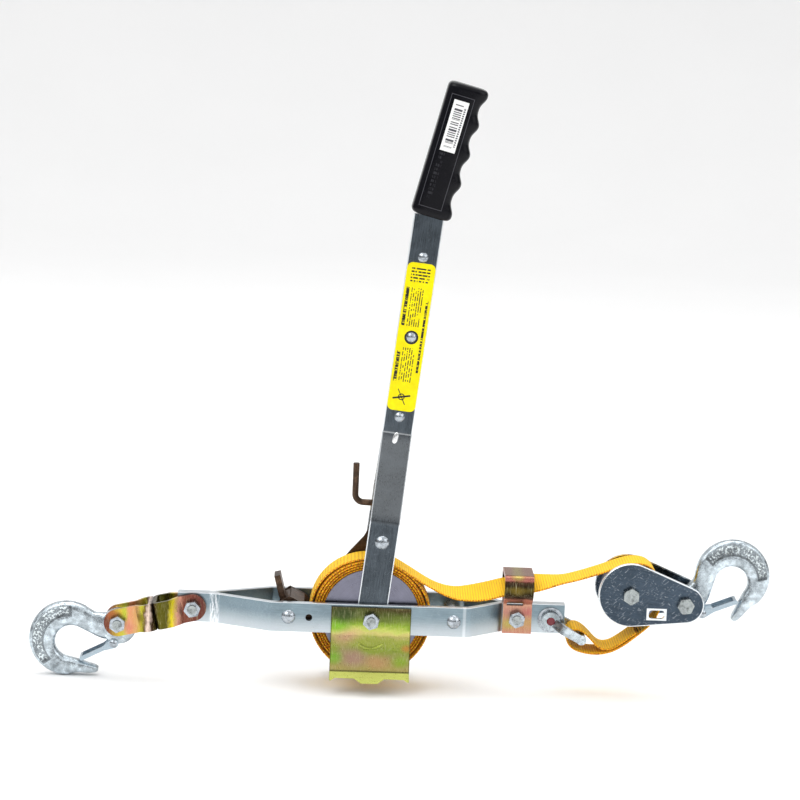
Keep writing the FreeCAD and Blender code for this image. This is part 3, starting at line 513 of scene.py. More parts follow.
def label_film(name, colour, ink):
    """Printed film: rows of plain dashes along the lever, a heading bar, a side line, a sign and a ring."""
    mix = Recipe(name)
    x, _, up = mix.axes(mix.place(SHAFT, (0, LEVER_LEAN, 0)))
    cell = mix.point(x.cell(LINE_PITCH) * 7.3, up * 0.42, 0.0)
    lines = (x.part(LINE_PITCH) < 0.42) * (mix.noise(cell, 1.0, 1.0, 0.5) > 0.46) * x.between(-5.6, 5.6)
    rows = lines * (up.between(203.0, 232.5) + up.between(251.0, 284.0))
    bold = (mix.noise(cell, 2.1, 1.0, 0.5) > 0.40) * x.between(-10.2, -7.4)
    bold = bold * (up.between(203.0, 229.0) + up.between(251.0, 284.0))
    side = (mix.noise(cell, 1.7, 1.0, 0.5) > 0.42) * x.between(7.9, 9.9) * up.between(212.0, 274.0)
    level = mix.point(x * 0.55, up.cell(NOTE_PITCH) * 5.1, 3.0)
    small = (up.part(NOTE_PITCH) < 0.5) * (mix.noise(level, 1.0, 1.0, 0.5) > 0.44)
    small = small * up.between(289.0, 301.0) * x.between(-8.0, 8.0)
    ring = x.far_from(up - LABEL_RIVET).between(4.4, 5.9)
    sign_x, sign_up = x + 1.0, up - 190.0
    reach = sign_x.far_from(sign_up)
    bar = (abs(sign_x * 0.25 - sign_up) < 0.8) + (abs(sign_x * 0.9 + sign_up * 0.5) < 0.4)
    sign = bar * (reach < 7.6) + reach.between(2.0, 2.9)
    margin = (abs(x) > 10.9) + (up < 179.6) + (up > 303.8)
    marks = (rows + bold + side + small + ring + sign).clamped() * (1.0 - margin.clamped())
    wear = mix.noise(mix.place(), 0.12, 3.0, 0.6)
    ground = mix.shades(wear, colour, (0.3, 0.88), (0.7, 1.06))
    return mix.finish(mix.mix(marks, ground, ink), 0.35 + (wear - 0.5) * 0.15, 0.0, ior=1.3)


def sticker_paper(name):
    """White sticker with plain bars of mixed width and a row of small blocks beside them."""
    mix = Recipe(name)
    x, up = grip_axes(mix)
    bars = mix.noise(mix.point(up * 1.15, 4.0, 1.0), 1.0, 0.0, 0.5) > 0.5
    bars = bars * x.between(-6.4, 0.4) * up.between(61.5, 98.5)
    blocks = (up.part(1.9) < 0.6) * x.between(1.4, 3.0) * up.between(63.0, 97.0)
    fibre = mix.noise(mix.place(), 1.2, 4.0, 0.7)
    paper = mix.ramp(fibre, (0.3, (0.80, 0.80, 0.79)), (0.7, (0.93, 0.93, 0.92)))
    return mix.finish(mix.mix((bars + blocks).clamped(), paper, (0.05, 0.05, 0.06)), 0.55, 0.0, fibre, 0.02)


def floor_paint(name, colour):
    """Matt paper sweep with the faintest cloud."""
    mix = Recipe(name)
    cloud = mix.noise(mix.place(), 0.004, 2.0, 0.5)
    return mix.finish(mix.shades(cloud, colour, (0.2, 0.98), (0.8, 1)), 0.85)


# --- Surfaces ---
def corners(grid):
    """The four corners of each cell of a grid, in order round the cell."""
    around = (grid[:-1, :-1], grid[:-1, 1:], grid[1:, 1:], grid[1:, :-1])
    return np.stack(around, 2).reshape(-1, 4, *grid.shape[2:])


def patch(rings, along=None, looped=False):
    """A closed skin over a grid of points, one ring of points per row.

    Each point is joined to the next one round its ring and to the same one in the next row. A looped
    grid joins its last row to its first; any other gets a fan of triangles over each end. The map runs
    round the ring from 0 to 1 and along the rows as given.
    """
    rows, count = rings.shape[:2]
    along = np.arange(rows, dtype=float) if along is None else along
    if looped:
        along = np.append(along, along[-1] + along[1] - along[0])
    index = np.pad(np.arange(rows * count).reshape(rows, count), ((0, int(looped)), (0, 1)), "wrap")
    quads = corners(index)
    quad_map = corners(np.stack(np.meshgrid(np.arange(count + 1) / count, along), -1))
    points = rings.reshape(-1, 3)
    fans, fan_map = np.zeros((0, 3), int), np.zeros((0, 3, 2))
    if not looped:
        first = np.stack([np.full(count, len(points)), index[0, 1:], index[0, :-1]], -1)
        last = np.stack([np.full(count, len(points) + 1), index[-1, :-1], index[-1, 1:]], -1)
        points = np.vstack([points, rings[[0, -1]].mean(axis=1)])
        fans = np.vstack([first, last])
        ends = np.repeat(along[[0, -1]], count)
        fan_map = np.stack([np.full((2 * count, 3), 0.5), np.repeat(ends[:, None], 3, axis=1)], -1)
    tris = np.vstack([quads[:, [0, 1, 2]], quads[:, [0, 2, 3]], fans])
    a, b, c = (points[tris[:, k]] for k in range(3))
    if np.einsum("ij,ij->i", a, np.cross(b, c)).sum() < 0:
        quads, quad_map, fans, fan_map = (part[:, ::-1] for part in (quads, quad_map, fans, fan_map))
    return points, quads, fans, quad_map, fan_map


def make_piece(name, patches, material, body, replaces=()):
    """One mesh object from skins: their points, faces and maps are set as whole arrays."""
    points, loops, starts, maps = [], [], [], []
    base = used = 0
    for vertices, quads, fans, quad_map, fan_map in patches:
        points.append(vertices)
        for faces, corners in ((quads, quad_map), (fans, fan_map)):
            loops.append((faces + base).reshape(-1))
            maps.append(corners.reshape(-1, 2))
            starts.append(used + np.arange(len(faces)) * faces.shape[1])
            used += faces.size
        base += len(vertices)
    points, loops, starts, maps = (np.concatenate(part) for part in (points, loops, starts, maps))
    mesh = bpy.data.meshes.new(name)
    for rows, key, values, kind in ((mesh.vertices, "co", points, np.float32),
                                    (mesh.loops, "vertex_index", loops, np.int32),
                                    (mesh.polygons, "loop_start", starts, np.int32)):
        rows.add(len(values))
        rows.foreach_set(key, values.astype(kind).reshape(-1))
    mesh.update(calc_edges=True)
    layer = mesh.uv_layers.new(name="UVMap").data
    layer.foreach_set("uv", maps.astype(np.float32).reshape(-1))
    mesh.validate()
    mesh.shade_smooth()
    mesh.materials.append(material)
    made = put(name, mesh)
    if replaces:
        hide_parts(*replaces)
    if body:
        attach(made, body)
    return made


def turned(points, angle, at):
    """Points in millimetres turned from +X towards +Z by an angle, then set at a place in metres."""
    x, y, z = (points[..., k] * MM for k in range(3))
    c, s = math.cos(angle), math.sin(angle)
    return np.stack([x * c - z * s + at[0], y + at[1], x * s + z * c + at[2]], -1)


def power(values, exponent):
    """The size of each value to a power, with its sign kept."""
    return np.sign(values) * np.abs(values) ** exponent


def full_turn(count):
    """Angles a step apart round a full circle."""
    return np.linspace(0, 2 * np.pi, count, endpoint=False)


def smooth(values, low, high):
    """0 below low, 1 above high and 3 t squared less 2 t cubed between them."""
    t = np.clip((values - low) / (high - low), 0, 1)
    return t * t * (3 - 2 * t)


def through(stations, count):
    """Catmull-Rom curve through rows of numbers, sampled evenly between the first and the last."""
    rows = np.vstack([2 * stations[:1] - stations[1:2], stations, 2 * stations[-1:] - stations[-2:-1]])
    step = np.linspace(0, len(stations) - 1, count)
    k = np.minimum(step.astype(int), len(stations) - 2)
    t = (step - k)[:, None]
    a, b, c, d = rows[k], rows[k + 1], rows[k + 2], rows[k + 3]
    return 0.5 * (2 * b + (c - a) * t + (2 * a - 5 * b + 4 * c - d) * t ** 2
                  + (3 * b - a - 3 * c + d) * t ** 3)


def even(line, step):
    """The same line with its points a step apart."""
    far = np.concatenate([[0], np.cumsum(np.linalg.norm(np.diff(line, axis=0), axis=1))])
    places = np.linspace(0, far[-1], max(2, round(far[-1] / step) + 1))
    return np.stack([np.interp(places, far, line[:, k]) for k in range(3)], -1), places


def nurbs_line(points):
    """Points along a NURBS curve of order 3 that starts and ends at its control points."""
    data = bpy.data.curves.new("route", "CURVE")
    data.dimensions, data.resolution_u = "3D", 24
    spline = data.splines.new("NURBS")
    spline.points.add(len(points) - 1)
    spline.points.foreach_set("co", np.c_[points, np.ones(len(points))].reshape(-1))
    spline.order_u = 3
    spline.use_endpoint_u = True
    carrier = bpy.data.objects.new("route", data)
    mesh = bpy.data.meshes.new_from_object(carrier)
    line = np.zeros(len(mesh.vertices) * 3)
    mesh.vertices.foreach_get("co", line)
    bpy.data.meshes.remove(mesh)
    bpy.data.curves.remove(data)
    return line.reshape(-1, 3)


def band_rings(line, width, thick, roll, shift=0.0):
    """A flat band carried along a line.

    The section is a flat oval of the band's width and thickness, a superellipse of power 5 across and
    2 through. Its width lies along Y and is rolled about the line by an angle at each point.
    """
    ahead = np.gradient(line, axis=0)
    ahead /= np.linalg.norm(ahead, axis=1)[:, None]
    flat = np.array([0.0, 1.0, 0.0])
    above = np.cross(ahead, flat)
    above /= np.linalg.norm(above, axis=1)[:, None]
    across = np.cos(roll)[:, None] * flat + np.sin(roll)[:, None] * above
    through_it = np.cross(ahead, across)
    turn = full_turn(BAND_POINTS)
    u = power(np.cos(turn), 0.4) * width / 2
    v = power(np.sin(turn), 0.55) * thick / 2
    middle = line + across * np.asarray(shift).reshape(-1, 1)
    return middle[:, None] + across[:, None] * u[None, :, None] + through_it[:, None] * v[None, :, None]


def band_piece(name, rings, along, material, body, *replaces):
    """A band whose map runs across its face: the ring's turn becomes the place across the width."""
    made = make_piece(name, [patch(rings, along)], material, body, replaces)
    layer = made.data.uv_layers[0].data
    values = np.zeros(len(layer) * 2)
    layer.foreach_get("uv", values)
    values[::2] = 0.5 + 0.5 * power(np.cos(values[::2] * 2 * np.pi), 0.4)
    layer.foreach_set("uv", values)
    return made


# --- Strap ---
BAND_POINTS = 28
WINDING_IN, WINDING_OUT = 17.4, 51.2
LAST_TURN, LOOSE = 6.3, 1.5                # how much of the winding is loose, and how far it stands off
DENT, DENT_AT = 2.3, math.radians(70.0)    # the pull of the free run flattens the roll here
LEAVES_AT = math.radians(80.0)
# The strap's way from the drum, over the sheave and round the shackle's bow, from the shaft.
STRAP_ROUTE = [(0.0092, 0.0485), (0.0160, 0.0471), (0.0625, 0.0180), (0.092, 0.0192), (0.119, 0.0273),
               (0.150, 0.0312), (0.180, 0.0376), (0.2384, 0.0607), (0.2493, 0.020), (0.2435, 0.003),
               (0.231, -0.0085), (0.214, -0.0225), (0.199, -0.0278), (0.184, -0.0268), (0.173, -0.023),
               (0.1684, -0.015), (0.173, -0.0064), (0.180, -0.0064), (0.188, -0.0124), (0.196, -0.0214),
               (0.203, -0.0238), (0.2129, -0.0203), (0.2285, -0.0074)]
# Where the band is sewn to itself, in millimetres along it.
STITCHED = (300.0, 334.0)


class StrapSettings(bpy.types.PropertyGroup):
    """Sizes and colours of the strap."""
    width: length_setting("Width", "Width of the webbing", 0.03175)
    thick: length_setting("Thickness", "Thickness of one layer", 0.0021)
    turns: bpy.props.IntProperty(name="Turns", description="Turns wound on the drum", default=15)
    roll: angle_setting("Roll", "How far the free run tips to the front", 16)
    colour: colour_setting("Colour", "Colour of the yarn", 1.0, 0.55, 0.0)
    edge: colour_setting("Edge", "Colour of the knitted edge", 0.80, 0.25, 0.0)


class WINCH_OT_strap(bpy.types.Operator):
    """Weave the strap: its free run with the sewn eye, and the turns wound on the drum"""
    bl_idname = "winch.strap"
    bl_label = "Strap"

    def execute(self, context):
        look = context.scene.winch_strap
        self.free_run(look)
        self.winding(look)
        return {"FINISHED"}

    def free_run(self, look):
        """The band follows the route; its roll rises off the drum and dies away by the sheave."""
        points = np.array([(SHAFT[0] + x, SHAFT[1], SHAFT[2] + z) for x, z in STRAP_ROUTE])
        line, far = even(nurbs_line(points), 0.0012)
        roll = look.roll * smooth(far, 0.045, 0.1) * (1 - smooth(far, 0.134, 0.168))
        rings = band_rings(line, look.width, look.thick, roll)
        woven = webbing("strap_webbing_run", look.colour, look.edge, STITCHED)
        made = band_piece("strap_free_run", rings, far / MM, woven, None, "strap_run", "strap_eye")
        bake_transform(made)

    def winding(self, look):
        """A spiral whose radius grows by one layer a turn.

        The last turn stands off from the others, and all of them are dented by the square of a cosine.
        """
        turn = np.linspace(0, look.turns * 2 * np.pi, look.turns * 64)
        out = (WINDING_IN + (WINDING_OUT - WINDING_IN) * turn / turn[-1]) * MM - look.thick / 2
        to_end = turn[-1] - turn
        loose = (1 - smooth(to_end, LAST_TURN - 1.3, LAST_TURN)) * (0.2 + 0.8 * smooth(to_end, 0.2, 1.6))
        angle = LEAVES_AT + to_end
        dent = DENT * (turn / turn[-1]) ** 2 * np.clip(np.cos(angle - DENT_AT), 0, 1) ** 2
        out = out + look.thick / 2 * smooth(turn, 0, np.pi) + (LOOSE * loose - dent) * MM
        line = np.stack([SHAFT[0] + out * np.cos(angle), np.full(len(turn), SHAFT[1]),
                         SHAFT[2] + out * np.sin(angle)], -1)
        wander = 0.00035 * np.sin(turn * 0.83) + 0.0002 * np.sin(turn * 2.7 + 1.0)
        rings = band_rings(line, look.width - 0.0012, look.thick, np.zeros(len(turn)), wander)
        woven = webbing("strap_webbing_wound", look.colour, look.edge)
        band_piece("strap_wound", rings, turn * 35.0, woven, "drum", "strap_winding")


# --- Hooks ---
BOWL_R, BOWL_AT = 14.2, (44.2, -2.8)
BACK_R, BACK_AT = 32.3, (46.5, -7.5)
BOSS_R, BOSS_AT = 15.2, (2.0, 4.4)
LUG_R, LUG_AT, LUG_HOLE_R = 4.4, (12.5, 15.0), 2.08
EYE_HOLE_R = 4.05
NO_PANEL = 500.0                           # the map of the eye and the lug starts past the panel's
# Outer and inner edge (x, z) and half thickness at stations down the shank and out to the point.
SHANK = [(3.0, -9.2, 6.0, 9.0, 6.0), (8.6, -12.2, 14.5, 10.6, 6.4), (13.8, -15.4, 20.6, 6.0, 6.5),
         (17.2, -20.9, 26.4, -1.9, 6.5)]
POINT = [(56.8, 22.2, 49.2, 11.9, 6.5), (51.6, 24.4, 45.9, 15.4, 6.4), (46.8, 27.4, 42.2, 19.4, 6.1),
         (42.6, 29.7, 38.4, 23.4, 5.5), (39.6, 30.9, 36.1, 26.0, 4.6), (37.2, 31.1, 34.9, 28.0, 3.2)]


class HookSettings(bpy.types.PropertyGroup):
    """Sizes and colours of the hooks."""
    half: millimetre_setting("Half thickness", "Half the forging's thickness", 6.5)
    hollow: millimetre_setting("Hollow", "Depth of the sunk panel on the back", 1.1)
    colour: colour_setting("Colour", "Colour of the zinc", 0.46, 0.52, 0.56)


def circle(middle, radius, angles):
    """Points (x, z) at angles from +X towards +Z on a circle."""
    return np.stack([middle[0] + radius * np.cos(angles), middle[1] + radius * np.sin(angles)], -1)


def section(outer, inner, half, corner, count):
    """Closed sections between two edge lines: a superellipse whose corners have the given power."""
    turn = full_turn(count)
    u, v = power(np.cos(turn), corner), power(np.sin(turn), corner)
    middle, reach = (outer + inner) / 2, (outer - inner) / 2
    flat = middle[:, None] + reach[:, None] * u[None, :, None]
    depth = np.asarray(half).reshape(-1, 1) * v[None, :]
    return np.stack([flat[..., 0], depth, flat[..., 1]], -1), u


def washer_rings(outer_at, outer_r, hole_r, half, hole_at):
    """A rounded disc with a hole: the section between hole and rim is carried round the hole."""
    angles = full_turn(72)
    outer, inner = circle(outer_at, outer_r, angles), circle(hole_at, hole_r, angles)
    return section(outer, inner, np.full(72, half), 0.34, 32)[0]


def hook_patches(look):
    """The hook drawn with its eye at the origin: shank, bowl and point as one section on two edges.

    The outer edge follows the back's arc and the inner edge the bowl's arc; the panel on the back is
    sunk between two smooth steps along the way and across the section.
    """
    sweep = np.linspace(0, 1, 14)
    outer = circle(BACK_AT, BACK_R, np.radians(213 + 208 * sweep))
    inner = circle(BOWL_AT, BOWL_R, np.radians(216 + 200 * sweep))
    bowl = np.c_[outer, inner, np.full(14, look.half)]
    rows = through(np.vstack([SHANK, bowl, POINT]), 132)
    rings, across = section(rows[:, 0:2], rows[:, 2:4], rows[:, 4], 0.62, 44)
    way = np.linspace(0, 1, len(rows))
    sunk = smooth(way, 0.235, 0.255) * (1 - smooth(way, 0.60, 0.62))
    sunk = sunk[:, None] * (smooth(across, -0.12, -0.02) * (1 - smooth(across, 0.62, 0.74)))[None]
    rings[..., 1] -= np.sign(rings[..., 1]) * look.hollow * sunk
    boss = washer_rings(BOSS_AT, BOSS_R, EYE_HOLE_R, look.half, (0.0, 0.0))
    lug = washer_rings(LUG_AT, LUG_R, LUG_HOLE_R, look.half, LUG_AT)
    return [(rings, False), (boss, True), (lug, True)]


class WINCH_OT_hooks(bpy.types.Operator):
    """Forge the two hooks and finish their latches"""
    bl_idname = "winch.hooks"
    bl_label = "Hooks"

    def execute(self, context):
        look = context.scene.winch_hook
        zinc = forged_metal("hook_zinc", look.colour, True)
        for name, joint, angle, flip in (("anchor_hook", "anchor_hook_pivot", 210.0, 1.0),
                                         ("load_hook", "load_hook_pivot", 19.0, -1.0)):
            skins = []
            for rings, looped in hook_patches(look):
                rings = rings * np.array([1.0, 1.0, flip])
                along = np.arange(len(rings)) + (NO_PANEL if looped else 0.0)
                skins.append(patch(turned(rings, math.radians(angle), joint_at(joint)), along, looped))
            make_piece(f"{name}_forging", skins, zinc, f"{name}_body", (name,))
        plate = brushed_metal("latch_zinc_plate", (0.38, 0.46, 0.52), "X", roughness=0.26)
        dress(plate, "anchor_latch", "load_latch")
        dress(plated_metal("latch_wire", (0.35, 0.36, 0.38)), "anchor_latch_spring", "load_latch_spring")
        return {"FINISHED"}


# --- Grip ---
GRIP_LEFT, GRIP_CREST, GRIP_VALLEY, GRIP_LONG = -16.5, 18.2, 14.2, 114.0
GRIP_CRESTS = np.array([5.4, 32.0, 57.5, 83.0, 108.6])
GRIP_RISE, GRIP_ROUND = 1.6, 4.5


class GripSettings(bpy.types.PropertyGroup):
    """Sizes and colours of the grip."""
    half: millimetre_setting("Half thickness", "Half the grip's thickness", 12.0)
    colour: colour_setting("Colour", "Colour of the vinyl", 0.004, 0.004, 0.006)


class WINCH_OT_grip(bpy.types.Operator):
    """Mould the grip with its finger grooves, and print its sticker"""
    bl_idname = "winch.grip"
    bl_label = "Grip"

    def execute(self, context):
        look = context.scene.winch_grip
        rings = turned(self.rings(look), -GRIP_LEAN, (0, 0, (GRIP_FOOT + GRIP_RISE) * MM))
        rings = turned(rings / MM, -LEVER_LEAN, SHAFT)
        black = vinyl("grip_vinyl_black", look.colour, 0.1, grip_relief, ior=1.27)
        make_piece("grip_moulding", [patch(rings)], black, "lever", ("grip",))
        dress(sticker_paper("sticker_white"), "grip_sticker")
        return {"FINISHED"}

    def rings(self, look):
        """Rounded sections up the grip.

        The left side is straight. The right side falls from each crest to the valley halfway to the
        next one as a power of a raised cosine. Both ends are rounded over by quarter circles.
        """
        up = np.linspace(0, GRIP_LONG, 190)
        gap = np.clip(np.searchsorted(GRIP_CRESTS, up) - 1, 0, len(GRIP_CRESTS) - 2)
        t = np.clip((up - GRIP_CRESTS[gap]) / (GRIP_CRESTS[gap + 1] - GRIP_CRESTS[gap]), 0, 1)
        right = GRIP_VALLEY + (GRIP_CREST - GRIP_VALLEY) * (0.5 + 0.5 * np.cos(2 * np.pi * t)) ** 1.4
        turn = full_turn(96)
        u, v = power(np.cos(turn), 0.5), power(np.sin(turn), 0.5)
        past = np.clip(1 - np.minimum(up, GRIP_LONG - up) / GRIP_ROUND, 0, 1)
        rounded = GRIP_ROUND * (1 - np.sqrt(1 - past ** 2))
        middle, reach = (right + GRIP_LEFT) / 2, (right - GRIP_LEFT) / 2 - rounded
        x = middle[:, None] + reach[:, None] * u[None]
        y = (look.half - rounded * 0.6)[:, None] * v[None]
        return np.stack([x, y, np.broadcast_to(up[:, None], x.shape)], -1)


# --- Dressed metal ---
# How high the lever's small mark is and half its length; the guard's half width, past which its rounded sides
# get painted shade, and its fold's height, where a painted shadow line runs.
PIP_AT, PIP_LONG = 153.6, 6.0
GUARD_EDGE, GUARD_CREASE = 33.3, -44.3
# Colours of the passivated sheets: bands as place and colour, spots as x, z, radius and colour.
GUARD_BANDS = (
    (-52, 0.44, 0.4, 0.12), (-42, 0.4, 0.33, 0.1), (-33, 0.34, 0.3, 0.11), (-25, 0.27, 0.34, 0.05),
    (-17, 0.38, 0.42, 0.08), (-13, 0.55, 0.48, 0.16), (-9.5, 0.5, 0.55, 0.12), (-5.5, 0.25, 0.36, 0.04),
    (0, 0.12, 0.16, 0.03), (6, 0.075, 0.09, 0.02), (10.5, 0.055, 0.04, 0.012), (13, 0.12, 0.1, 0.04))
GUARD_SPOTS = (
    (-14, -32, 15, 0.42, 0.24, 0.2), (-31, -33, 9, 0.2, 0.46, 0.03), (-22, -14.5, 13, 0.6, 0.34, 0.22),
    (-28, -6, 12, 0.2, 0.45, 0.03), (31, -24, 6, 0.6, 0.24, 0.06), (27, -35, 9, 0.26, 0.42, 0.03),
    (-24, 4, 13, 0.035, 0.055, 0.02), (6, -36, 12, 0.52, 0.3, 0.14))
# Keeper bands: its chromate colours, with near-black bands for the painted shade and dark reflection on its
# front wall, and paler bands for painted highlights on its bends.
KEEPER_BANDS = (
    (-13, 0.5, 0.22, 0.16), (-3, 0.46, 0.28, 0.12), (5, 0.44, 0.2, 0.16), (11, 0.52, 0.26, 0.18),
    (18, 0.64, 0.3, 0.22), (20, 0.05, 0.02, 0.006), (24, 0.016, 0.01, 0.004), (28, 0.1, 0.07, 0.012),
    (31, 0.02, 0.012, 0.004), (34.5, 0.05, 0.02, 0.01), (36, 0.5, 0.16, 0.13), (38.5, 0.2, 0.06, 0.05),
    (40, 0.24, 0.1, 0.06))
KEEPER_SPOTS = (
    (125, 27, 7, 0.16, 0.11, 0.015), (119, -5, 8, 0.4, 0.34, 0.08), (134, 6, 7, 0.44, 0.14, 0.12),
    (125, 38.5, 6, 0.3, 0.24, 0.05))
# Yoke bands: the chromate's colours, with the near-white band at -37.5 mm and the near-black bands round it
# painted as a highlight and dark reflection.
YOKE_BANDS = (
    (-78, 0.12, 0.03, 0.02), (-71, 0.2, 0.06, 0.035), (-62, 0.62, 0.45, 0.05), (-58, 0.5, 0.52, 0.05),
    (-54, 0.72, 0.3, 0.16), (-47, 0.6, 0.34, 0.12), (-43, 0.5, 0.46, 0.03), (-40, 0.1, 0.05, 0.01),
    (-37.5, 0.85, 0.66, 0.56), (-34, 0.03, 0.01, 0.003), (-28, 0.1, 0.09, 0.006), (-21, 0.09, 0.08, 0.01),
    (-17, 0.76, 0.62, 0.02), (-12.5, 0.76, 0.36, 0.26), (-8, 0.2, 0.06, 0.04), (12, 0.12, 0.035, 0.03))
YOKE_SPOTS = (
    (-56, -18, 9, 0.62, 0.22, 0.16), (-68, -8, 7, 0.45, 0.14, 0.05))


def dress(material, *nodes):
    """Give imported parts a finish."""
    for name in nodes:
        slots = frame["nodes"][name].material_slots
        if not slots:
            raise RuntimeError(f"{name} has no material slot")
        for slot in slots:
            slot.material = material


class MetalSettings(bpy.types.PropertyGroup):
    """Colours of the metal parts."""
    bar: colour_setting("Bars", "Zinc on the frame bars", 0.22, 0.29, 0.33)
    lever: colour_setting("Lever", "Steel of the lever bars", 0.075, 0.09, 0.105)
    drum: colour_setting("Drum", "Zinc on the drum discs", 0.20, 0.20, 0.255)
    block: colour_setting("Block", "Steel of the block's cheeks", 0.055, 0.075, 0.10)
    fastener: colour_setting("Fasteners", "Zinc on nuts, rivets and washers", 0.42, 0.46, 0.50)
    bolt: colour_setting("Bolts", "Duller zinc on the bolts", 0.34, 0.37, 0.37)
    oxide: colour_setting("Pawls", "Oxide on the pawls", 0.075, 0.045, 0.028)


class WINCH_OT_frame(bpy.types.Operator):
    """Finish the frame bars, the guards, the strap keeper and the drum's discs"""
    bl_idname = "winch.frame"
    bl_label = "Frame and drum"

    def execute(self, context):
        look = context.scene.winch_metal
        bars = brushed_metal("bar_zinc", look.bar, "X", SHAFT, scratches=0.2, glints=bar_glints)
        dress(bars, "frame_side_front", "frame_side_rear")
        dress(turned_metal("drum_disc_zinc", look.drum, SHAFT), "drum_flange", "ratchet_wheel", "drum_hub",
              "strap_anchor_pin")
        guard = yellow_chromate("guard_chromate", SHAFT, "Z", GUARD_BANDS, GUARD_SPOTS, (2.2, 1.0, 1.0), 0.2,
                                GUARD_EDGE, GUARD_CREASE)
        dress(guard, "drum_guard_front", "drum_guard_rear")
        dress(yellow_chromate("keeper_chromate", SHAFT, "Z", KEEPER_BANDS, KEEPER_SPOTS, drift=0.06),
              "strap_keeper")
        return {"FINISHED"}


class WINCH_OT_lever(bpy.types.Operator):
    """Finish the lever, its label and pawls, and press its small mark"""
    bl_idname = "winch.lever"
    bl_label = "Lever"

    def execute(self, context):
        look = context.scene.winch_metal
        steel = brushed_metal("lever_steel_bar", look.lever, "Z", SHAFT, LEVER_LEAN, 0.3, 0.6, 0.08,
                              lever_glints)
        dress(steel, "lever_plate_front", "lever_plate_rear")
        dress(label_film("label_yellow", (0.92, 0.78, 0.0), (0.02, 0.02, 0.02)), "lever_label")
        dress(oxide_metal("pawl_oxide", look.oxide), "drive_pawl", "drive_pawl_rod", "holding_pawl")
        self.pip(plated_metal("pip_bright", (0.85, 0.87, 0.88)))
        return {"FINISHED"}

    def pip(self, bright):
        """The pressed mark: half an ellipsoid, long up the lever, sunk to its middle in the bar."""
        up, turn = np.linspace(0.04, np.pi - 0.04, 24)[:, None], full_turn(32)
        along = PIP_LONG * np.cos(up) + 0 * turn
        rings = np.stack([-1.0 + 2.4 * np.sin(up) * np.cos(turn) + along * 0.12,
                          -4.5 + 1.1 * np.sin(up) * np.sin(turn), PIP_AT + along], -1)
        make_piece("lever_pip", [patch(turned(rings, -LEVER_LEAN, SHAFT))], bright, "lever")


class WINCH_OT_yoke(bpy.types.Operator):
    """Finish the yoke's two brackets"""
    bl_idname = "winch.yoke"
    bl_label = "Yoke"

    def execute(self, context):
        sheet = yellow_chromate("yoke_chromate", joint_at("yoke_pivot"), "X", YOKE_BANDS, YOKE_SPOTS,
                                (1.0, 1.0, 2.0))
        dress(sheet, "yoke_frame_bracket", "yoke_hook_bracket")
        return {"FINISHED"}


class WINCH_OT_block(bpy.types.Operator):
    """Finish the snatch block and the shackle"""
    bl_idname = "winch.block"
    bl_label = "Block and shackle"

    def execute(self, context):
        look = context.scene.winch_metal
        cheek = brushed_metal("cheek_steel", look.block, "X", joint_at("sheave_spin"), 0.15, 0.26, 0.45, 0.55,
                              cheek_glints)
        dress(cheek, "block_plate_front", "block_plate_rear")
        dress(turned_metal("sheave_zinc", look.drum, joint_at("sheave_spin")), "sheave", "sheave_bushing",
              "block_spacers")
        dress(forged_metal("shackle_zinc", (0.40, 0.45, 0.48)), "shackle")
        dress(vinyl("pin_end_red", (0.16, 0.012, 0.02)), "shackle_pin")
        return {"FINISHED"}


class WINCH_OT_fasteners(bpy.types.Operator):
    """Finish bolts, nuts, rivets, washers and springs"""
    bl_idname = "winch.fasteners"
    bl_label = "Fasteners"

    def execute(self, context):
        look = context.scene.winch_metal
        done = ("sheave_bushing", "block_spacers", "strap_anchor_pin")
        parts = {part["node"] for part in frame["record"]["subparts"]
                 if part["material_slot"] == "zinc_fastener" and part["node"] not in done}
        bolts = {node for node in parts if node.endswith("bolt")}
        dress(plated_metal("fastener_zinc", look.fastener), "frame_spacer", *sorted(parts - bolts))
        dress(plated_metal("bolt_zinc", look.bolt), *sorted(bolts))
        dress(plated_metal("spring_steel", (0.30, 0.31, 0.33)), "holding_pawl_spring", "drive_pawl_spring")
        return {"FINISHED"}


# --- Studio ---
class StudioSettings(bpy.types.PropertyGroup):
    """Camera, floor and lights."""
    view: angle_setting("Field of view", "Width of view of the camera", 16.81)
    pitch: angle_setting("Pitch", "How far the camera looks down", 10.0)
    yaw: angle_setting("Yaw", "How far the camera looks to the right", 1.71)
    roll: angle_setting("Roll", "Tilt of the camera", 2.32)
    place: bpy.props.FloatVectorProperty(name="Camera", description="Camera's place from the drum shaft",
                                         size=3, default=(-0.0497, -2.2651, 0.5853), subtype="TRANSLATION")
    floor: colour_setting("Floor", "Colour of the floor", 0.96, 0.96, 0.96)


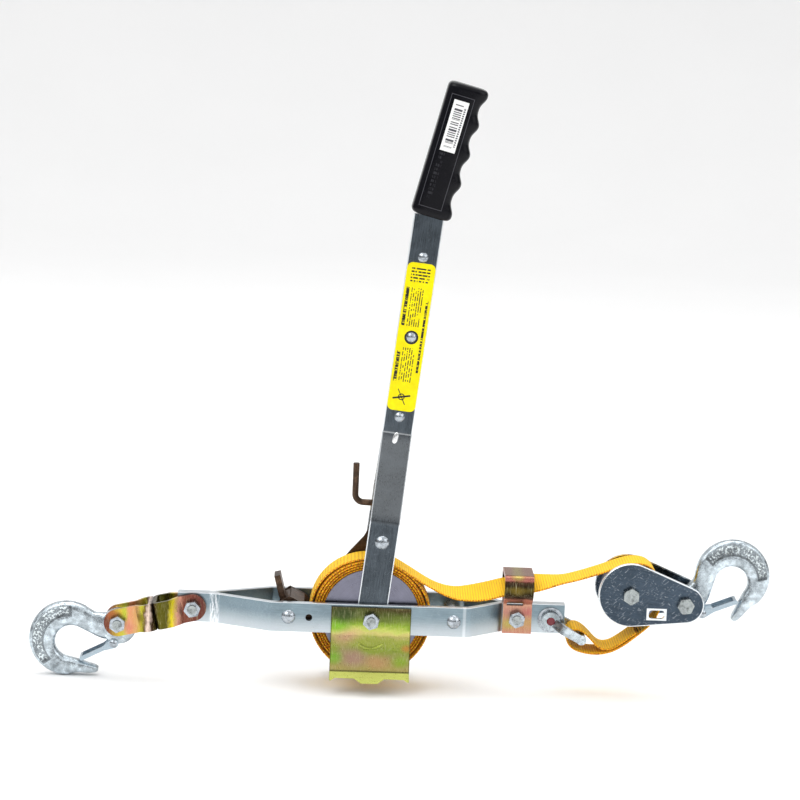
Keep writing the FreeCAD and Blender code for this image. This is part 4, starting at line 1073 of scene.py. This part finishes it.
class WINCH_OT_studio(bpy.types.Operator):
    """Set the floor, the soft lights and the camera"""
    bl_idname = "winch.studio"
    bl_label = "Studio"

    def execute(self, context):
        look = context.scene.winch_studio
        self.sweep(look)
        self.lights(context)
        self.camera(context, look)
        return {"FINISHED"}

    def sweep(self, look):
        """A floor that curves up into a wall: a profile of arc and lines carried sideways."""
        low = CAD_BOX[0][2] - 0.0005
        angle = np.linspace(0, np.pi / 2, 24)
        back = np.r_[-9.0, 3.0 + 1.5 * np.sin(angle), 4.5]
        high = np.r_[0.0, 1.5 - 1.5 * np.cos(angle), 7.0] + low
        side = np.linspace(-9.0, 9.0, 5) + SHAFT[0]
        zero = np.zeros((len(back), len(side)))
        top = np.stack([side + zero, back[:, None] + zero, high[:, None] + zero], -1)
        quads = corners(np.arange(zero.size).reshape(zero.shape))
        mesh = bpy.data.meshes.new("studio_sweep")
        mesh.from_pydata(top.reshape(-1, 3).tolist(), [], quads.tolist())
        mesh.shade_smooth()
        mesh.materials.append(floor_paint("sweep_paper", look.floor))
        put("studio_sweep", mesh)

    def lights(self, context):
        """Three soft lamps aimed at the lever's foot, and a world that is paler from above."""
        aim = SHAFT + np.array([0.0, 0.0, 0.12])
        for name, place, size, watts in (("key_light", (-1.4, -1.8, 2.2), 1.5, 24.0),
                                         ("fill_light", (2.0, -1.6, 1.2), 1.6, 12.0),
                                         ("top_light", (0.1, 0.5, 2.3), 1.8, 26.0)):
            data = bpy.data.lights.new(name, "AREA")
            data.energy, data.size = watts, size
            lamp = put(name, data)
            lamp.location = SHAFT + np.array(place)
            lamp.rotation_euler = aimed(np.array(lamp.location), aim)
        world = bpy.data.worlds.new("studio_air")
        world.use_nodes = True
        tree = world.node_tree
        sky = tree.nodes["Background"]
        where, split, shade = (tree.nodes.new(f"ShaderNode{kind}")
                               for kind in ("TexCoord", "SeparateXYZ", "ValToRGB"))
        for place, value in ((0.04, 0.25), (0.30, 0.30), (0.42, 1.0), (0.80, 1.1)):
            stop = shade.color_ramp.elements.new(place)
            stop.color = (value, value, value, 1.0)
        for source, goal in ((where.outputs["Generated"], split.inputs[0]),
                             (split.outputs["Z"], shade.inputs[0]), (shade.outputs[0], sky.inputs[0])):
            tree.links.new(source, goal)
        context.scene.world = world
        context.scene.view_settings.view_transform = "Standard"

    def camera(self, context, look):
        """Look ahead by yaw and pitch; the level right hand is rolled about that line."""
        data = bpy.data.cameras.new("studio_camera")
        data.sensor_width, data.angle, data.clip_end = 36.0, look.view, 50.0
        eye = put("studio_camera", data)
        eye.location = SHAFT + np.array(look.place)
        sine, cosine = math.sin(look.yaw), math.cos(look.yaw)
        ahead = np.array([sine * math.cos(look.pitch), cosine * math.cos(look.pitch), -math.sin(look.pitch)])
        level = np.array([cosine, -sine, 0.0])
        upward = np.cross(level, ahead)
        right = level * math.cos(look.roll) + upward * math.sin(look.roll)
        eye.rotation_euler = facing(right, np.cross(right, ahead), ahead)
        context.scene.camera = eye


def facing(right, upward, ahead):
    """Turn that sends X to the right, Y upward and looks ahead along -Z."""
    return Matrix((right, upward, -ahead)).transposed().to_euler()


def aimed(place, target):
    """Turn that looks from a place to a target with no roll."""
    ahead = (target - place) / np.linalg.norm(target - place)
    right = np.cross(ahead, (0, 0, 1))
    right /= np.linalg.norm(right)
    return facing(right, np.cross(right, ahead), ahead)


# --- Add-on ---
class WINCH_PT_panel(bpy.types.Panel):
    """Sidebar panel with the winch's settings and its build steps"""
    bl_idname = "WINCH_PT_panel"
    bl_label = "Come along winch"
    bl_space_type = "VIEW_3D"
    bl_region_type = "UI"
    bl_category = "Winch"

    def draw(self, context):
        for label, _, name in SETTINGS:
            box = self.layout.box()
            box.label(text=label)
            group = getattr(context.scene, name)
            for key in group.__annotations__:
                box.prop(group, key)
        for step in STEPS:
            self.layout.operator(step.bl_idname)


SETTINGS = (("Metal", MetalSettings, "winch_metal"), ("Strap", StrapSettings, "winch_strap"),
            ("Hooks", HookSettings, "winch_hook"), ("Grip", GripSettings, "winch_grip"),
            ("Studio", StudioSettings, "winch_studio"))
STEPS = (WINCH_OT_studio, WINCH_OT_strap, WINCH_OT_hooks, WINCH_OT_grip, WINCH_OT_frame, WINCH_OT_lever,
         WINCH_OT_yoke, WINCH_OT_block, WINCH_OT_fasteners)


def register():
    for _, kind, name in SETTINGS:
        bpy.utils.register_class(kind)
        setattr(bpy.types.Scene, name, bpy.props.PointerProperty(type=kind))
    for kind in (*STEPS, WINCH_PT_panel):
        bpy.utils.register_class(kind)


def unregister():
    for kind in reversed((*STEPS, WINCH_PT_panel)):
        bpy.utils.unregister_class(kind)
    for _, kind, name in reversed(SETTINGS):
        delattr(bpy.types.Scene, name)
        bpy.utils.unregister_class(kind)


def main():
    register()
    for step in STEPS:
        getattr(bpy.ops.winch, step.bl_idname.split(".")[1])()


if __name__ == "__main__":
    main()
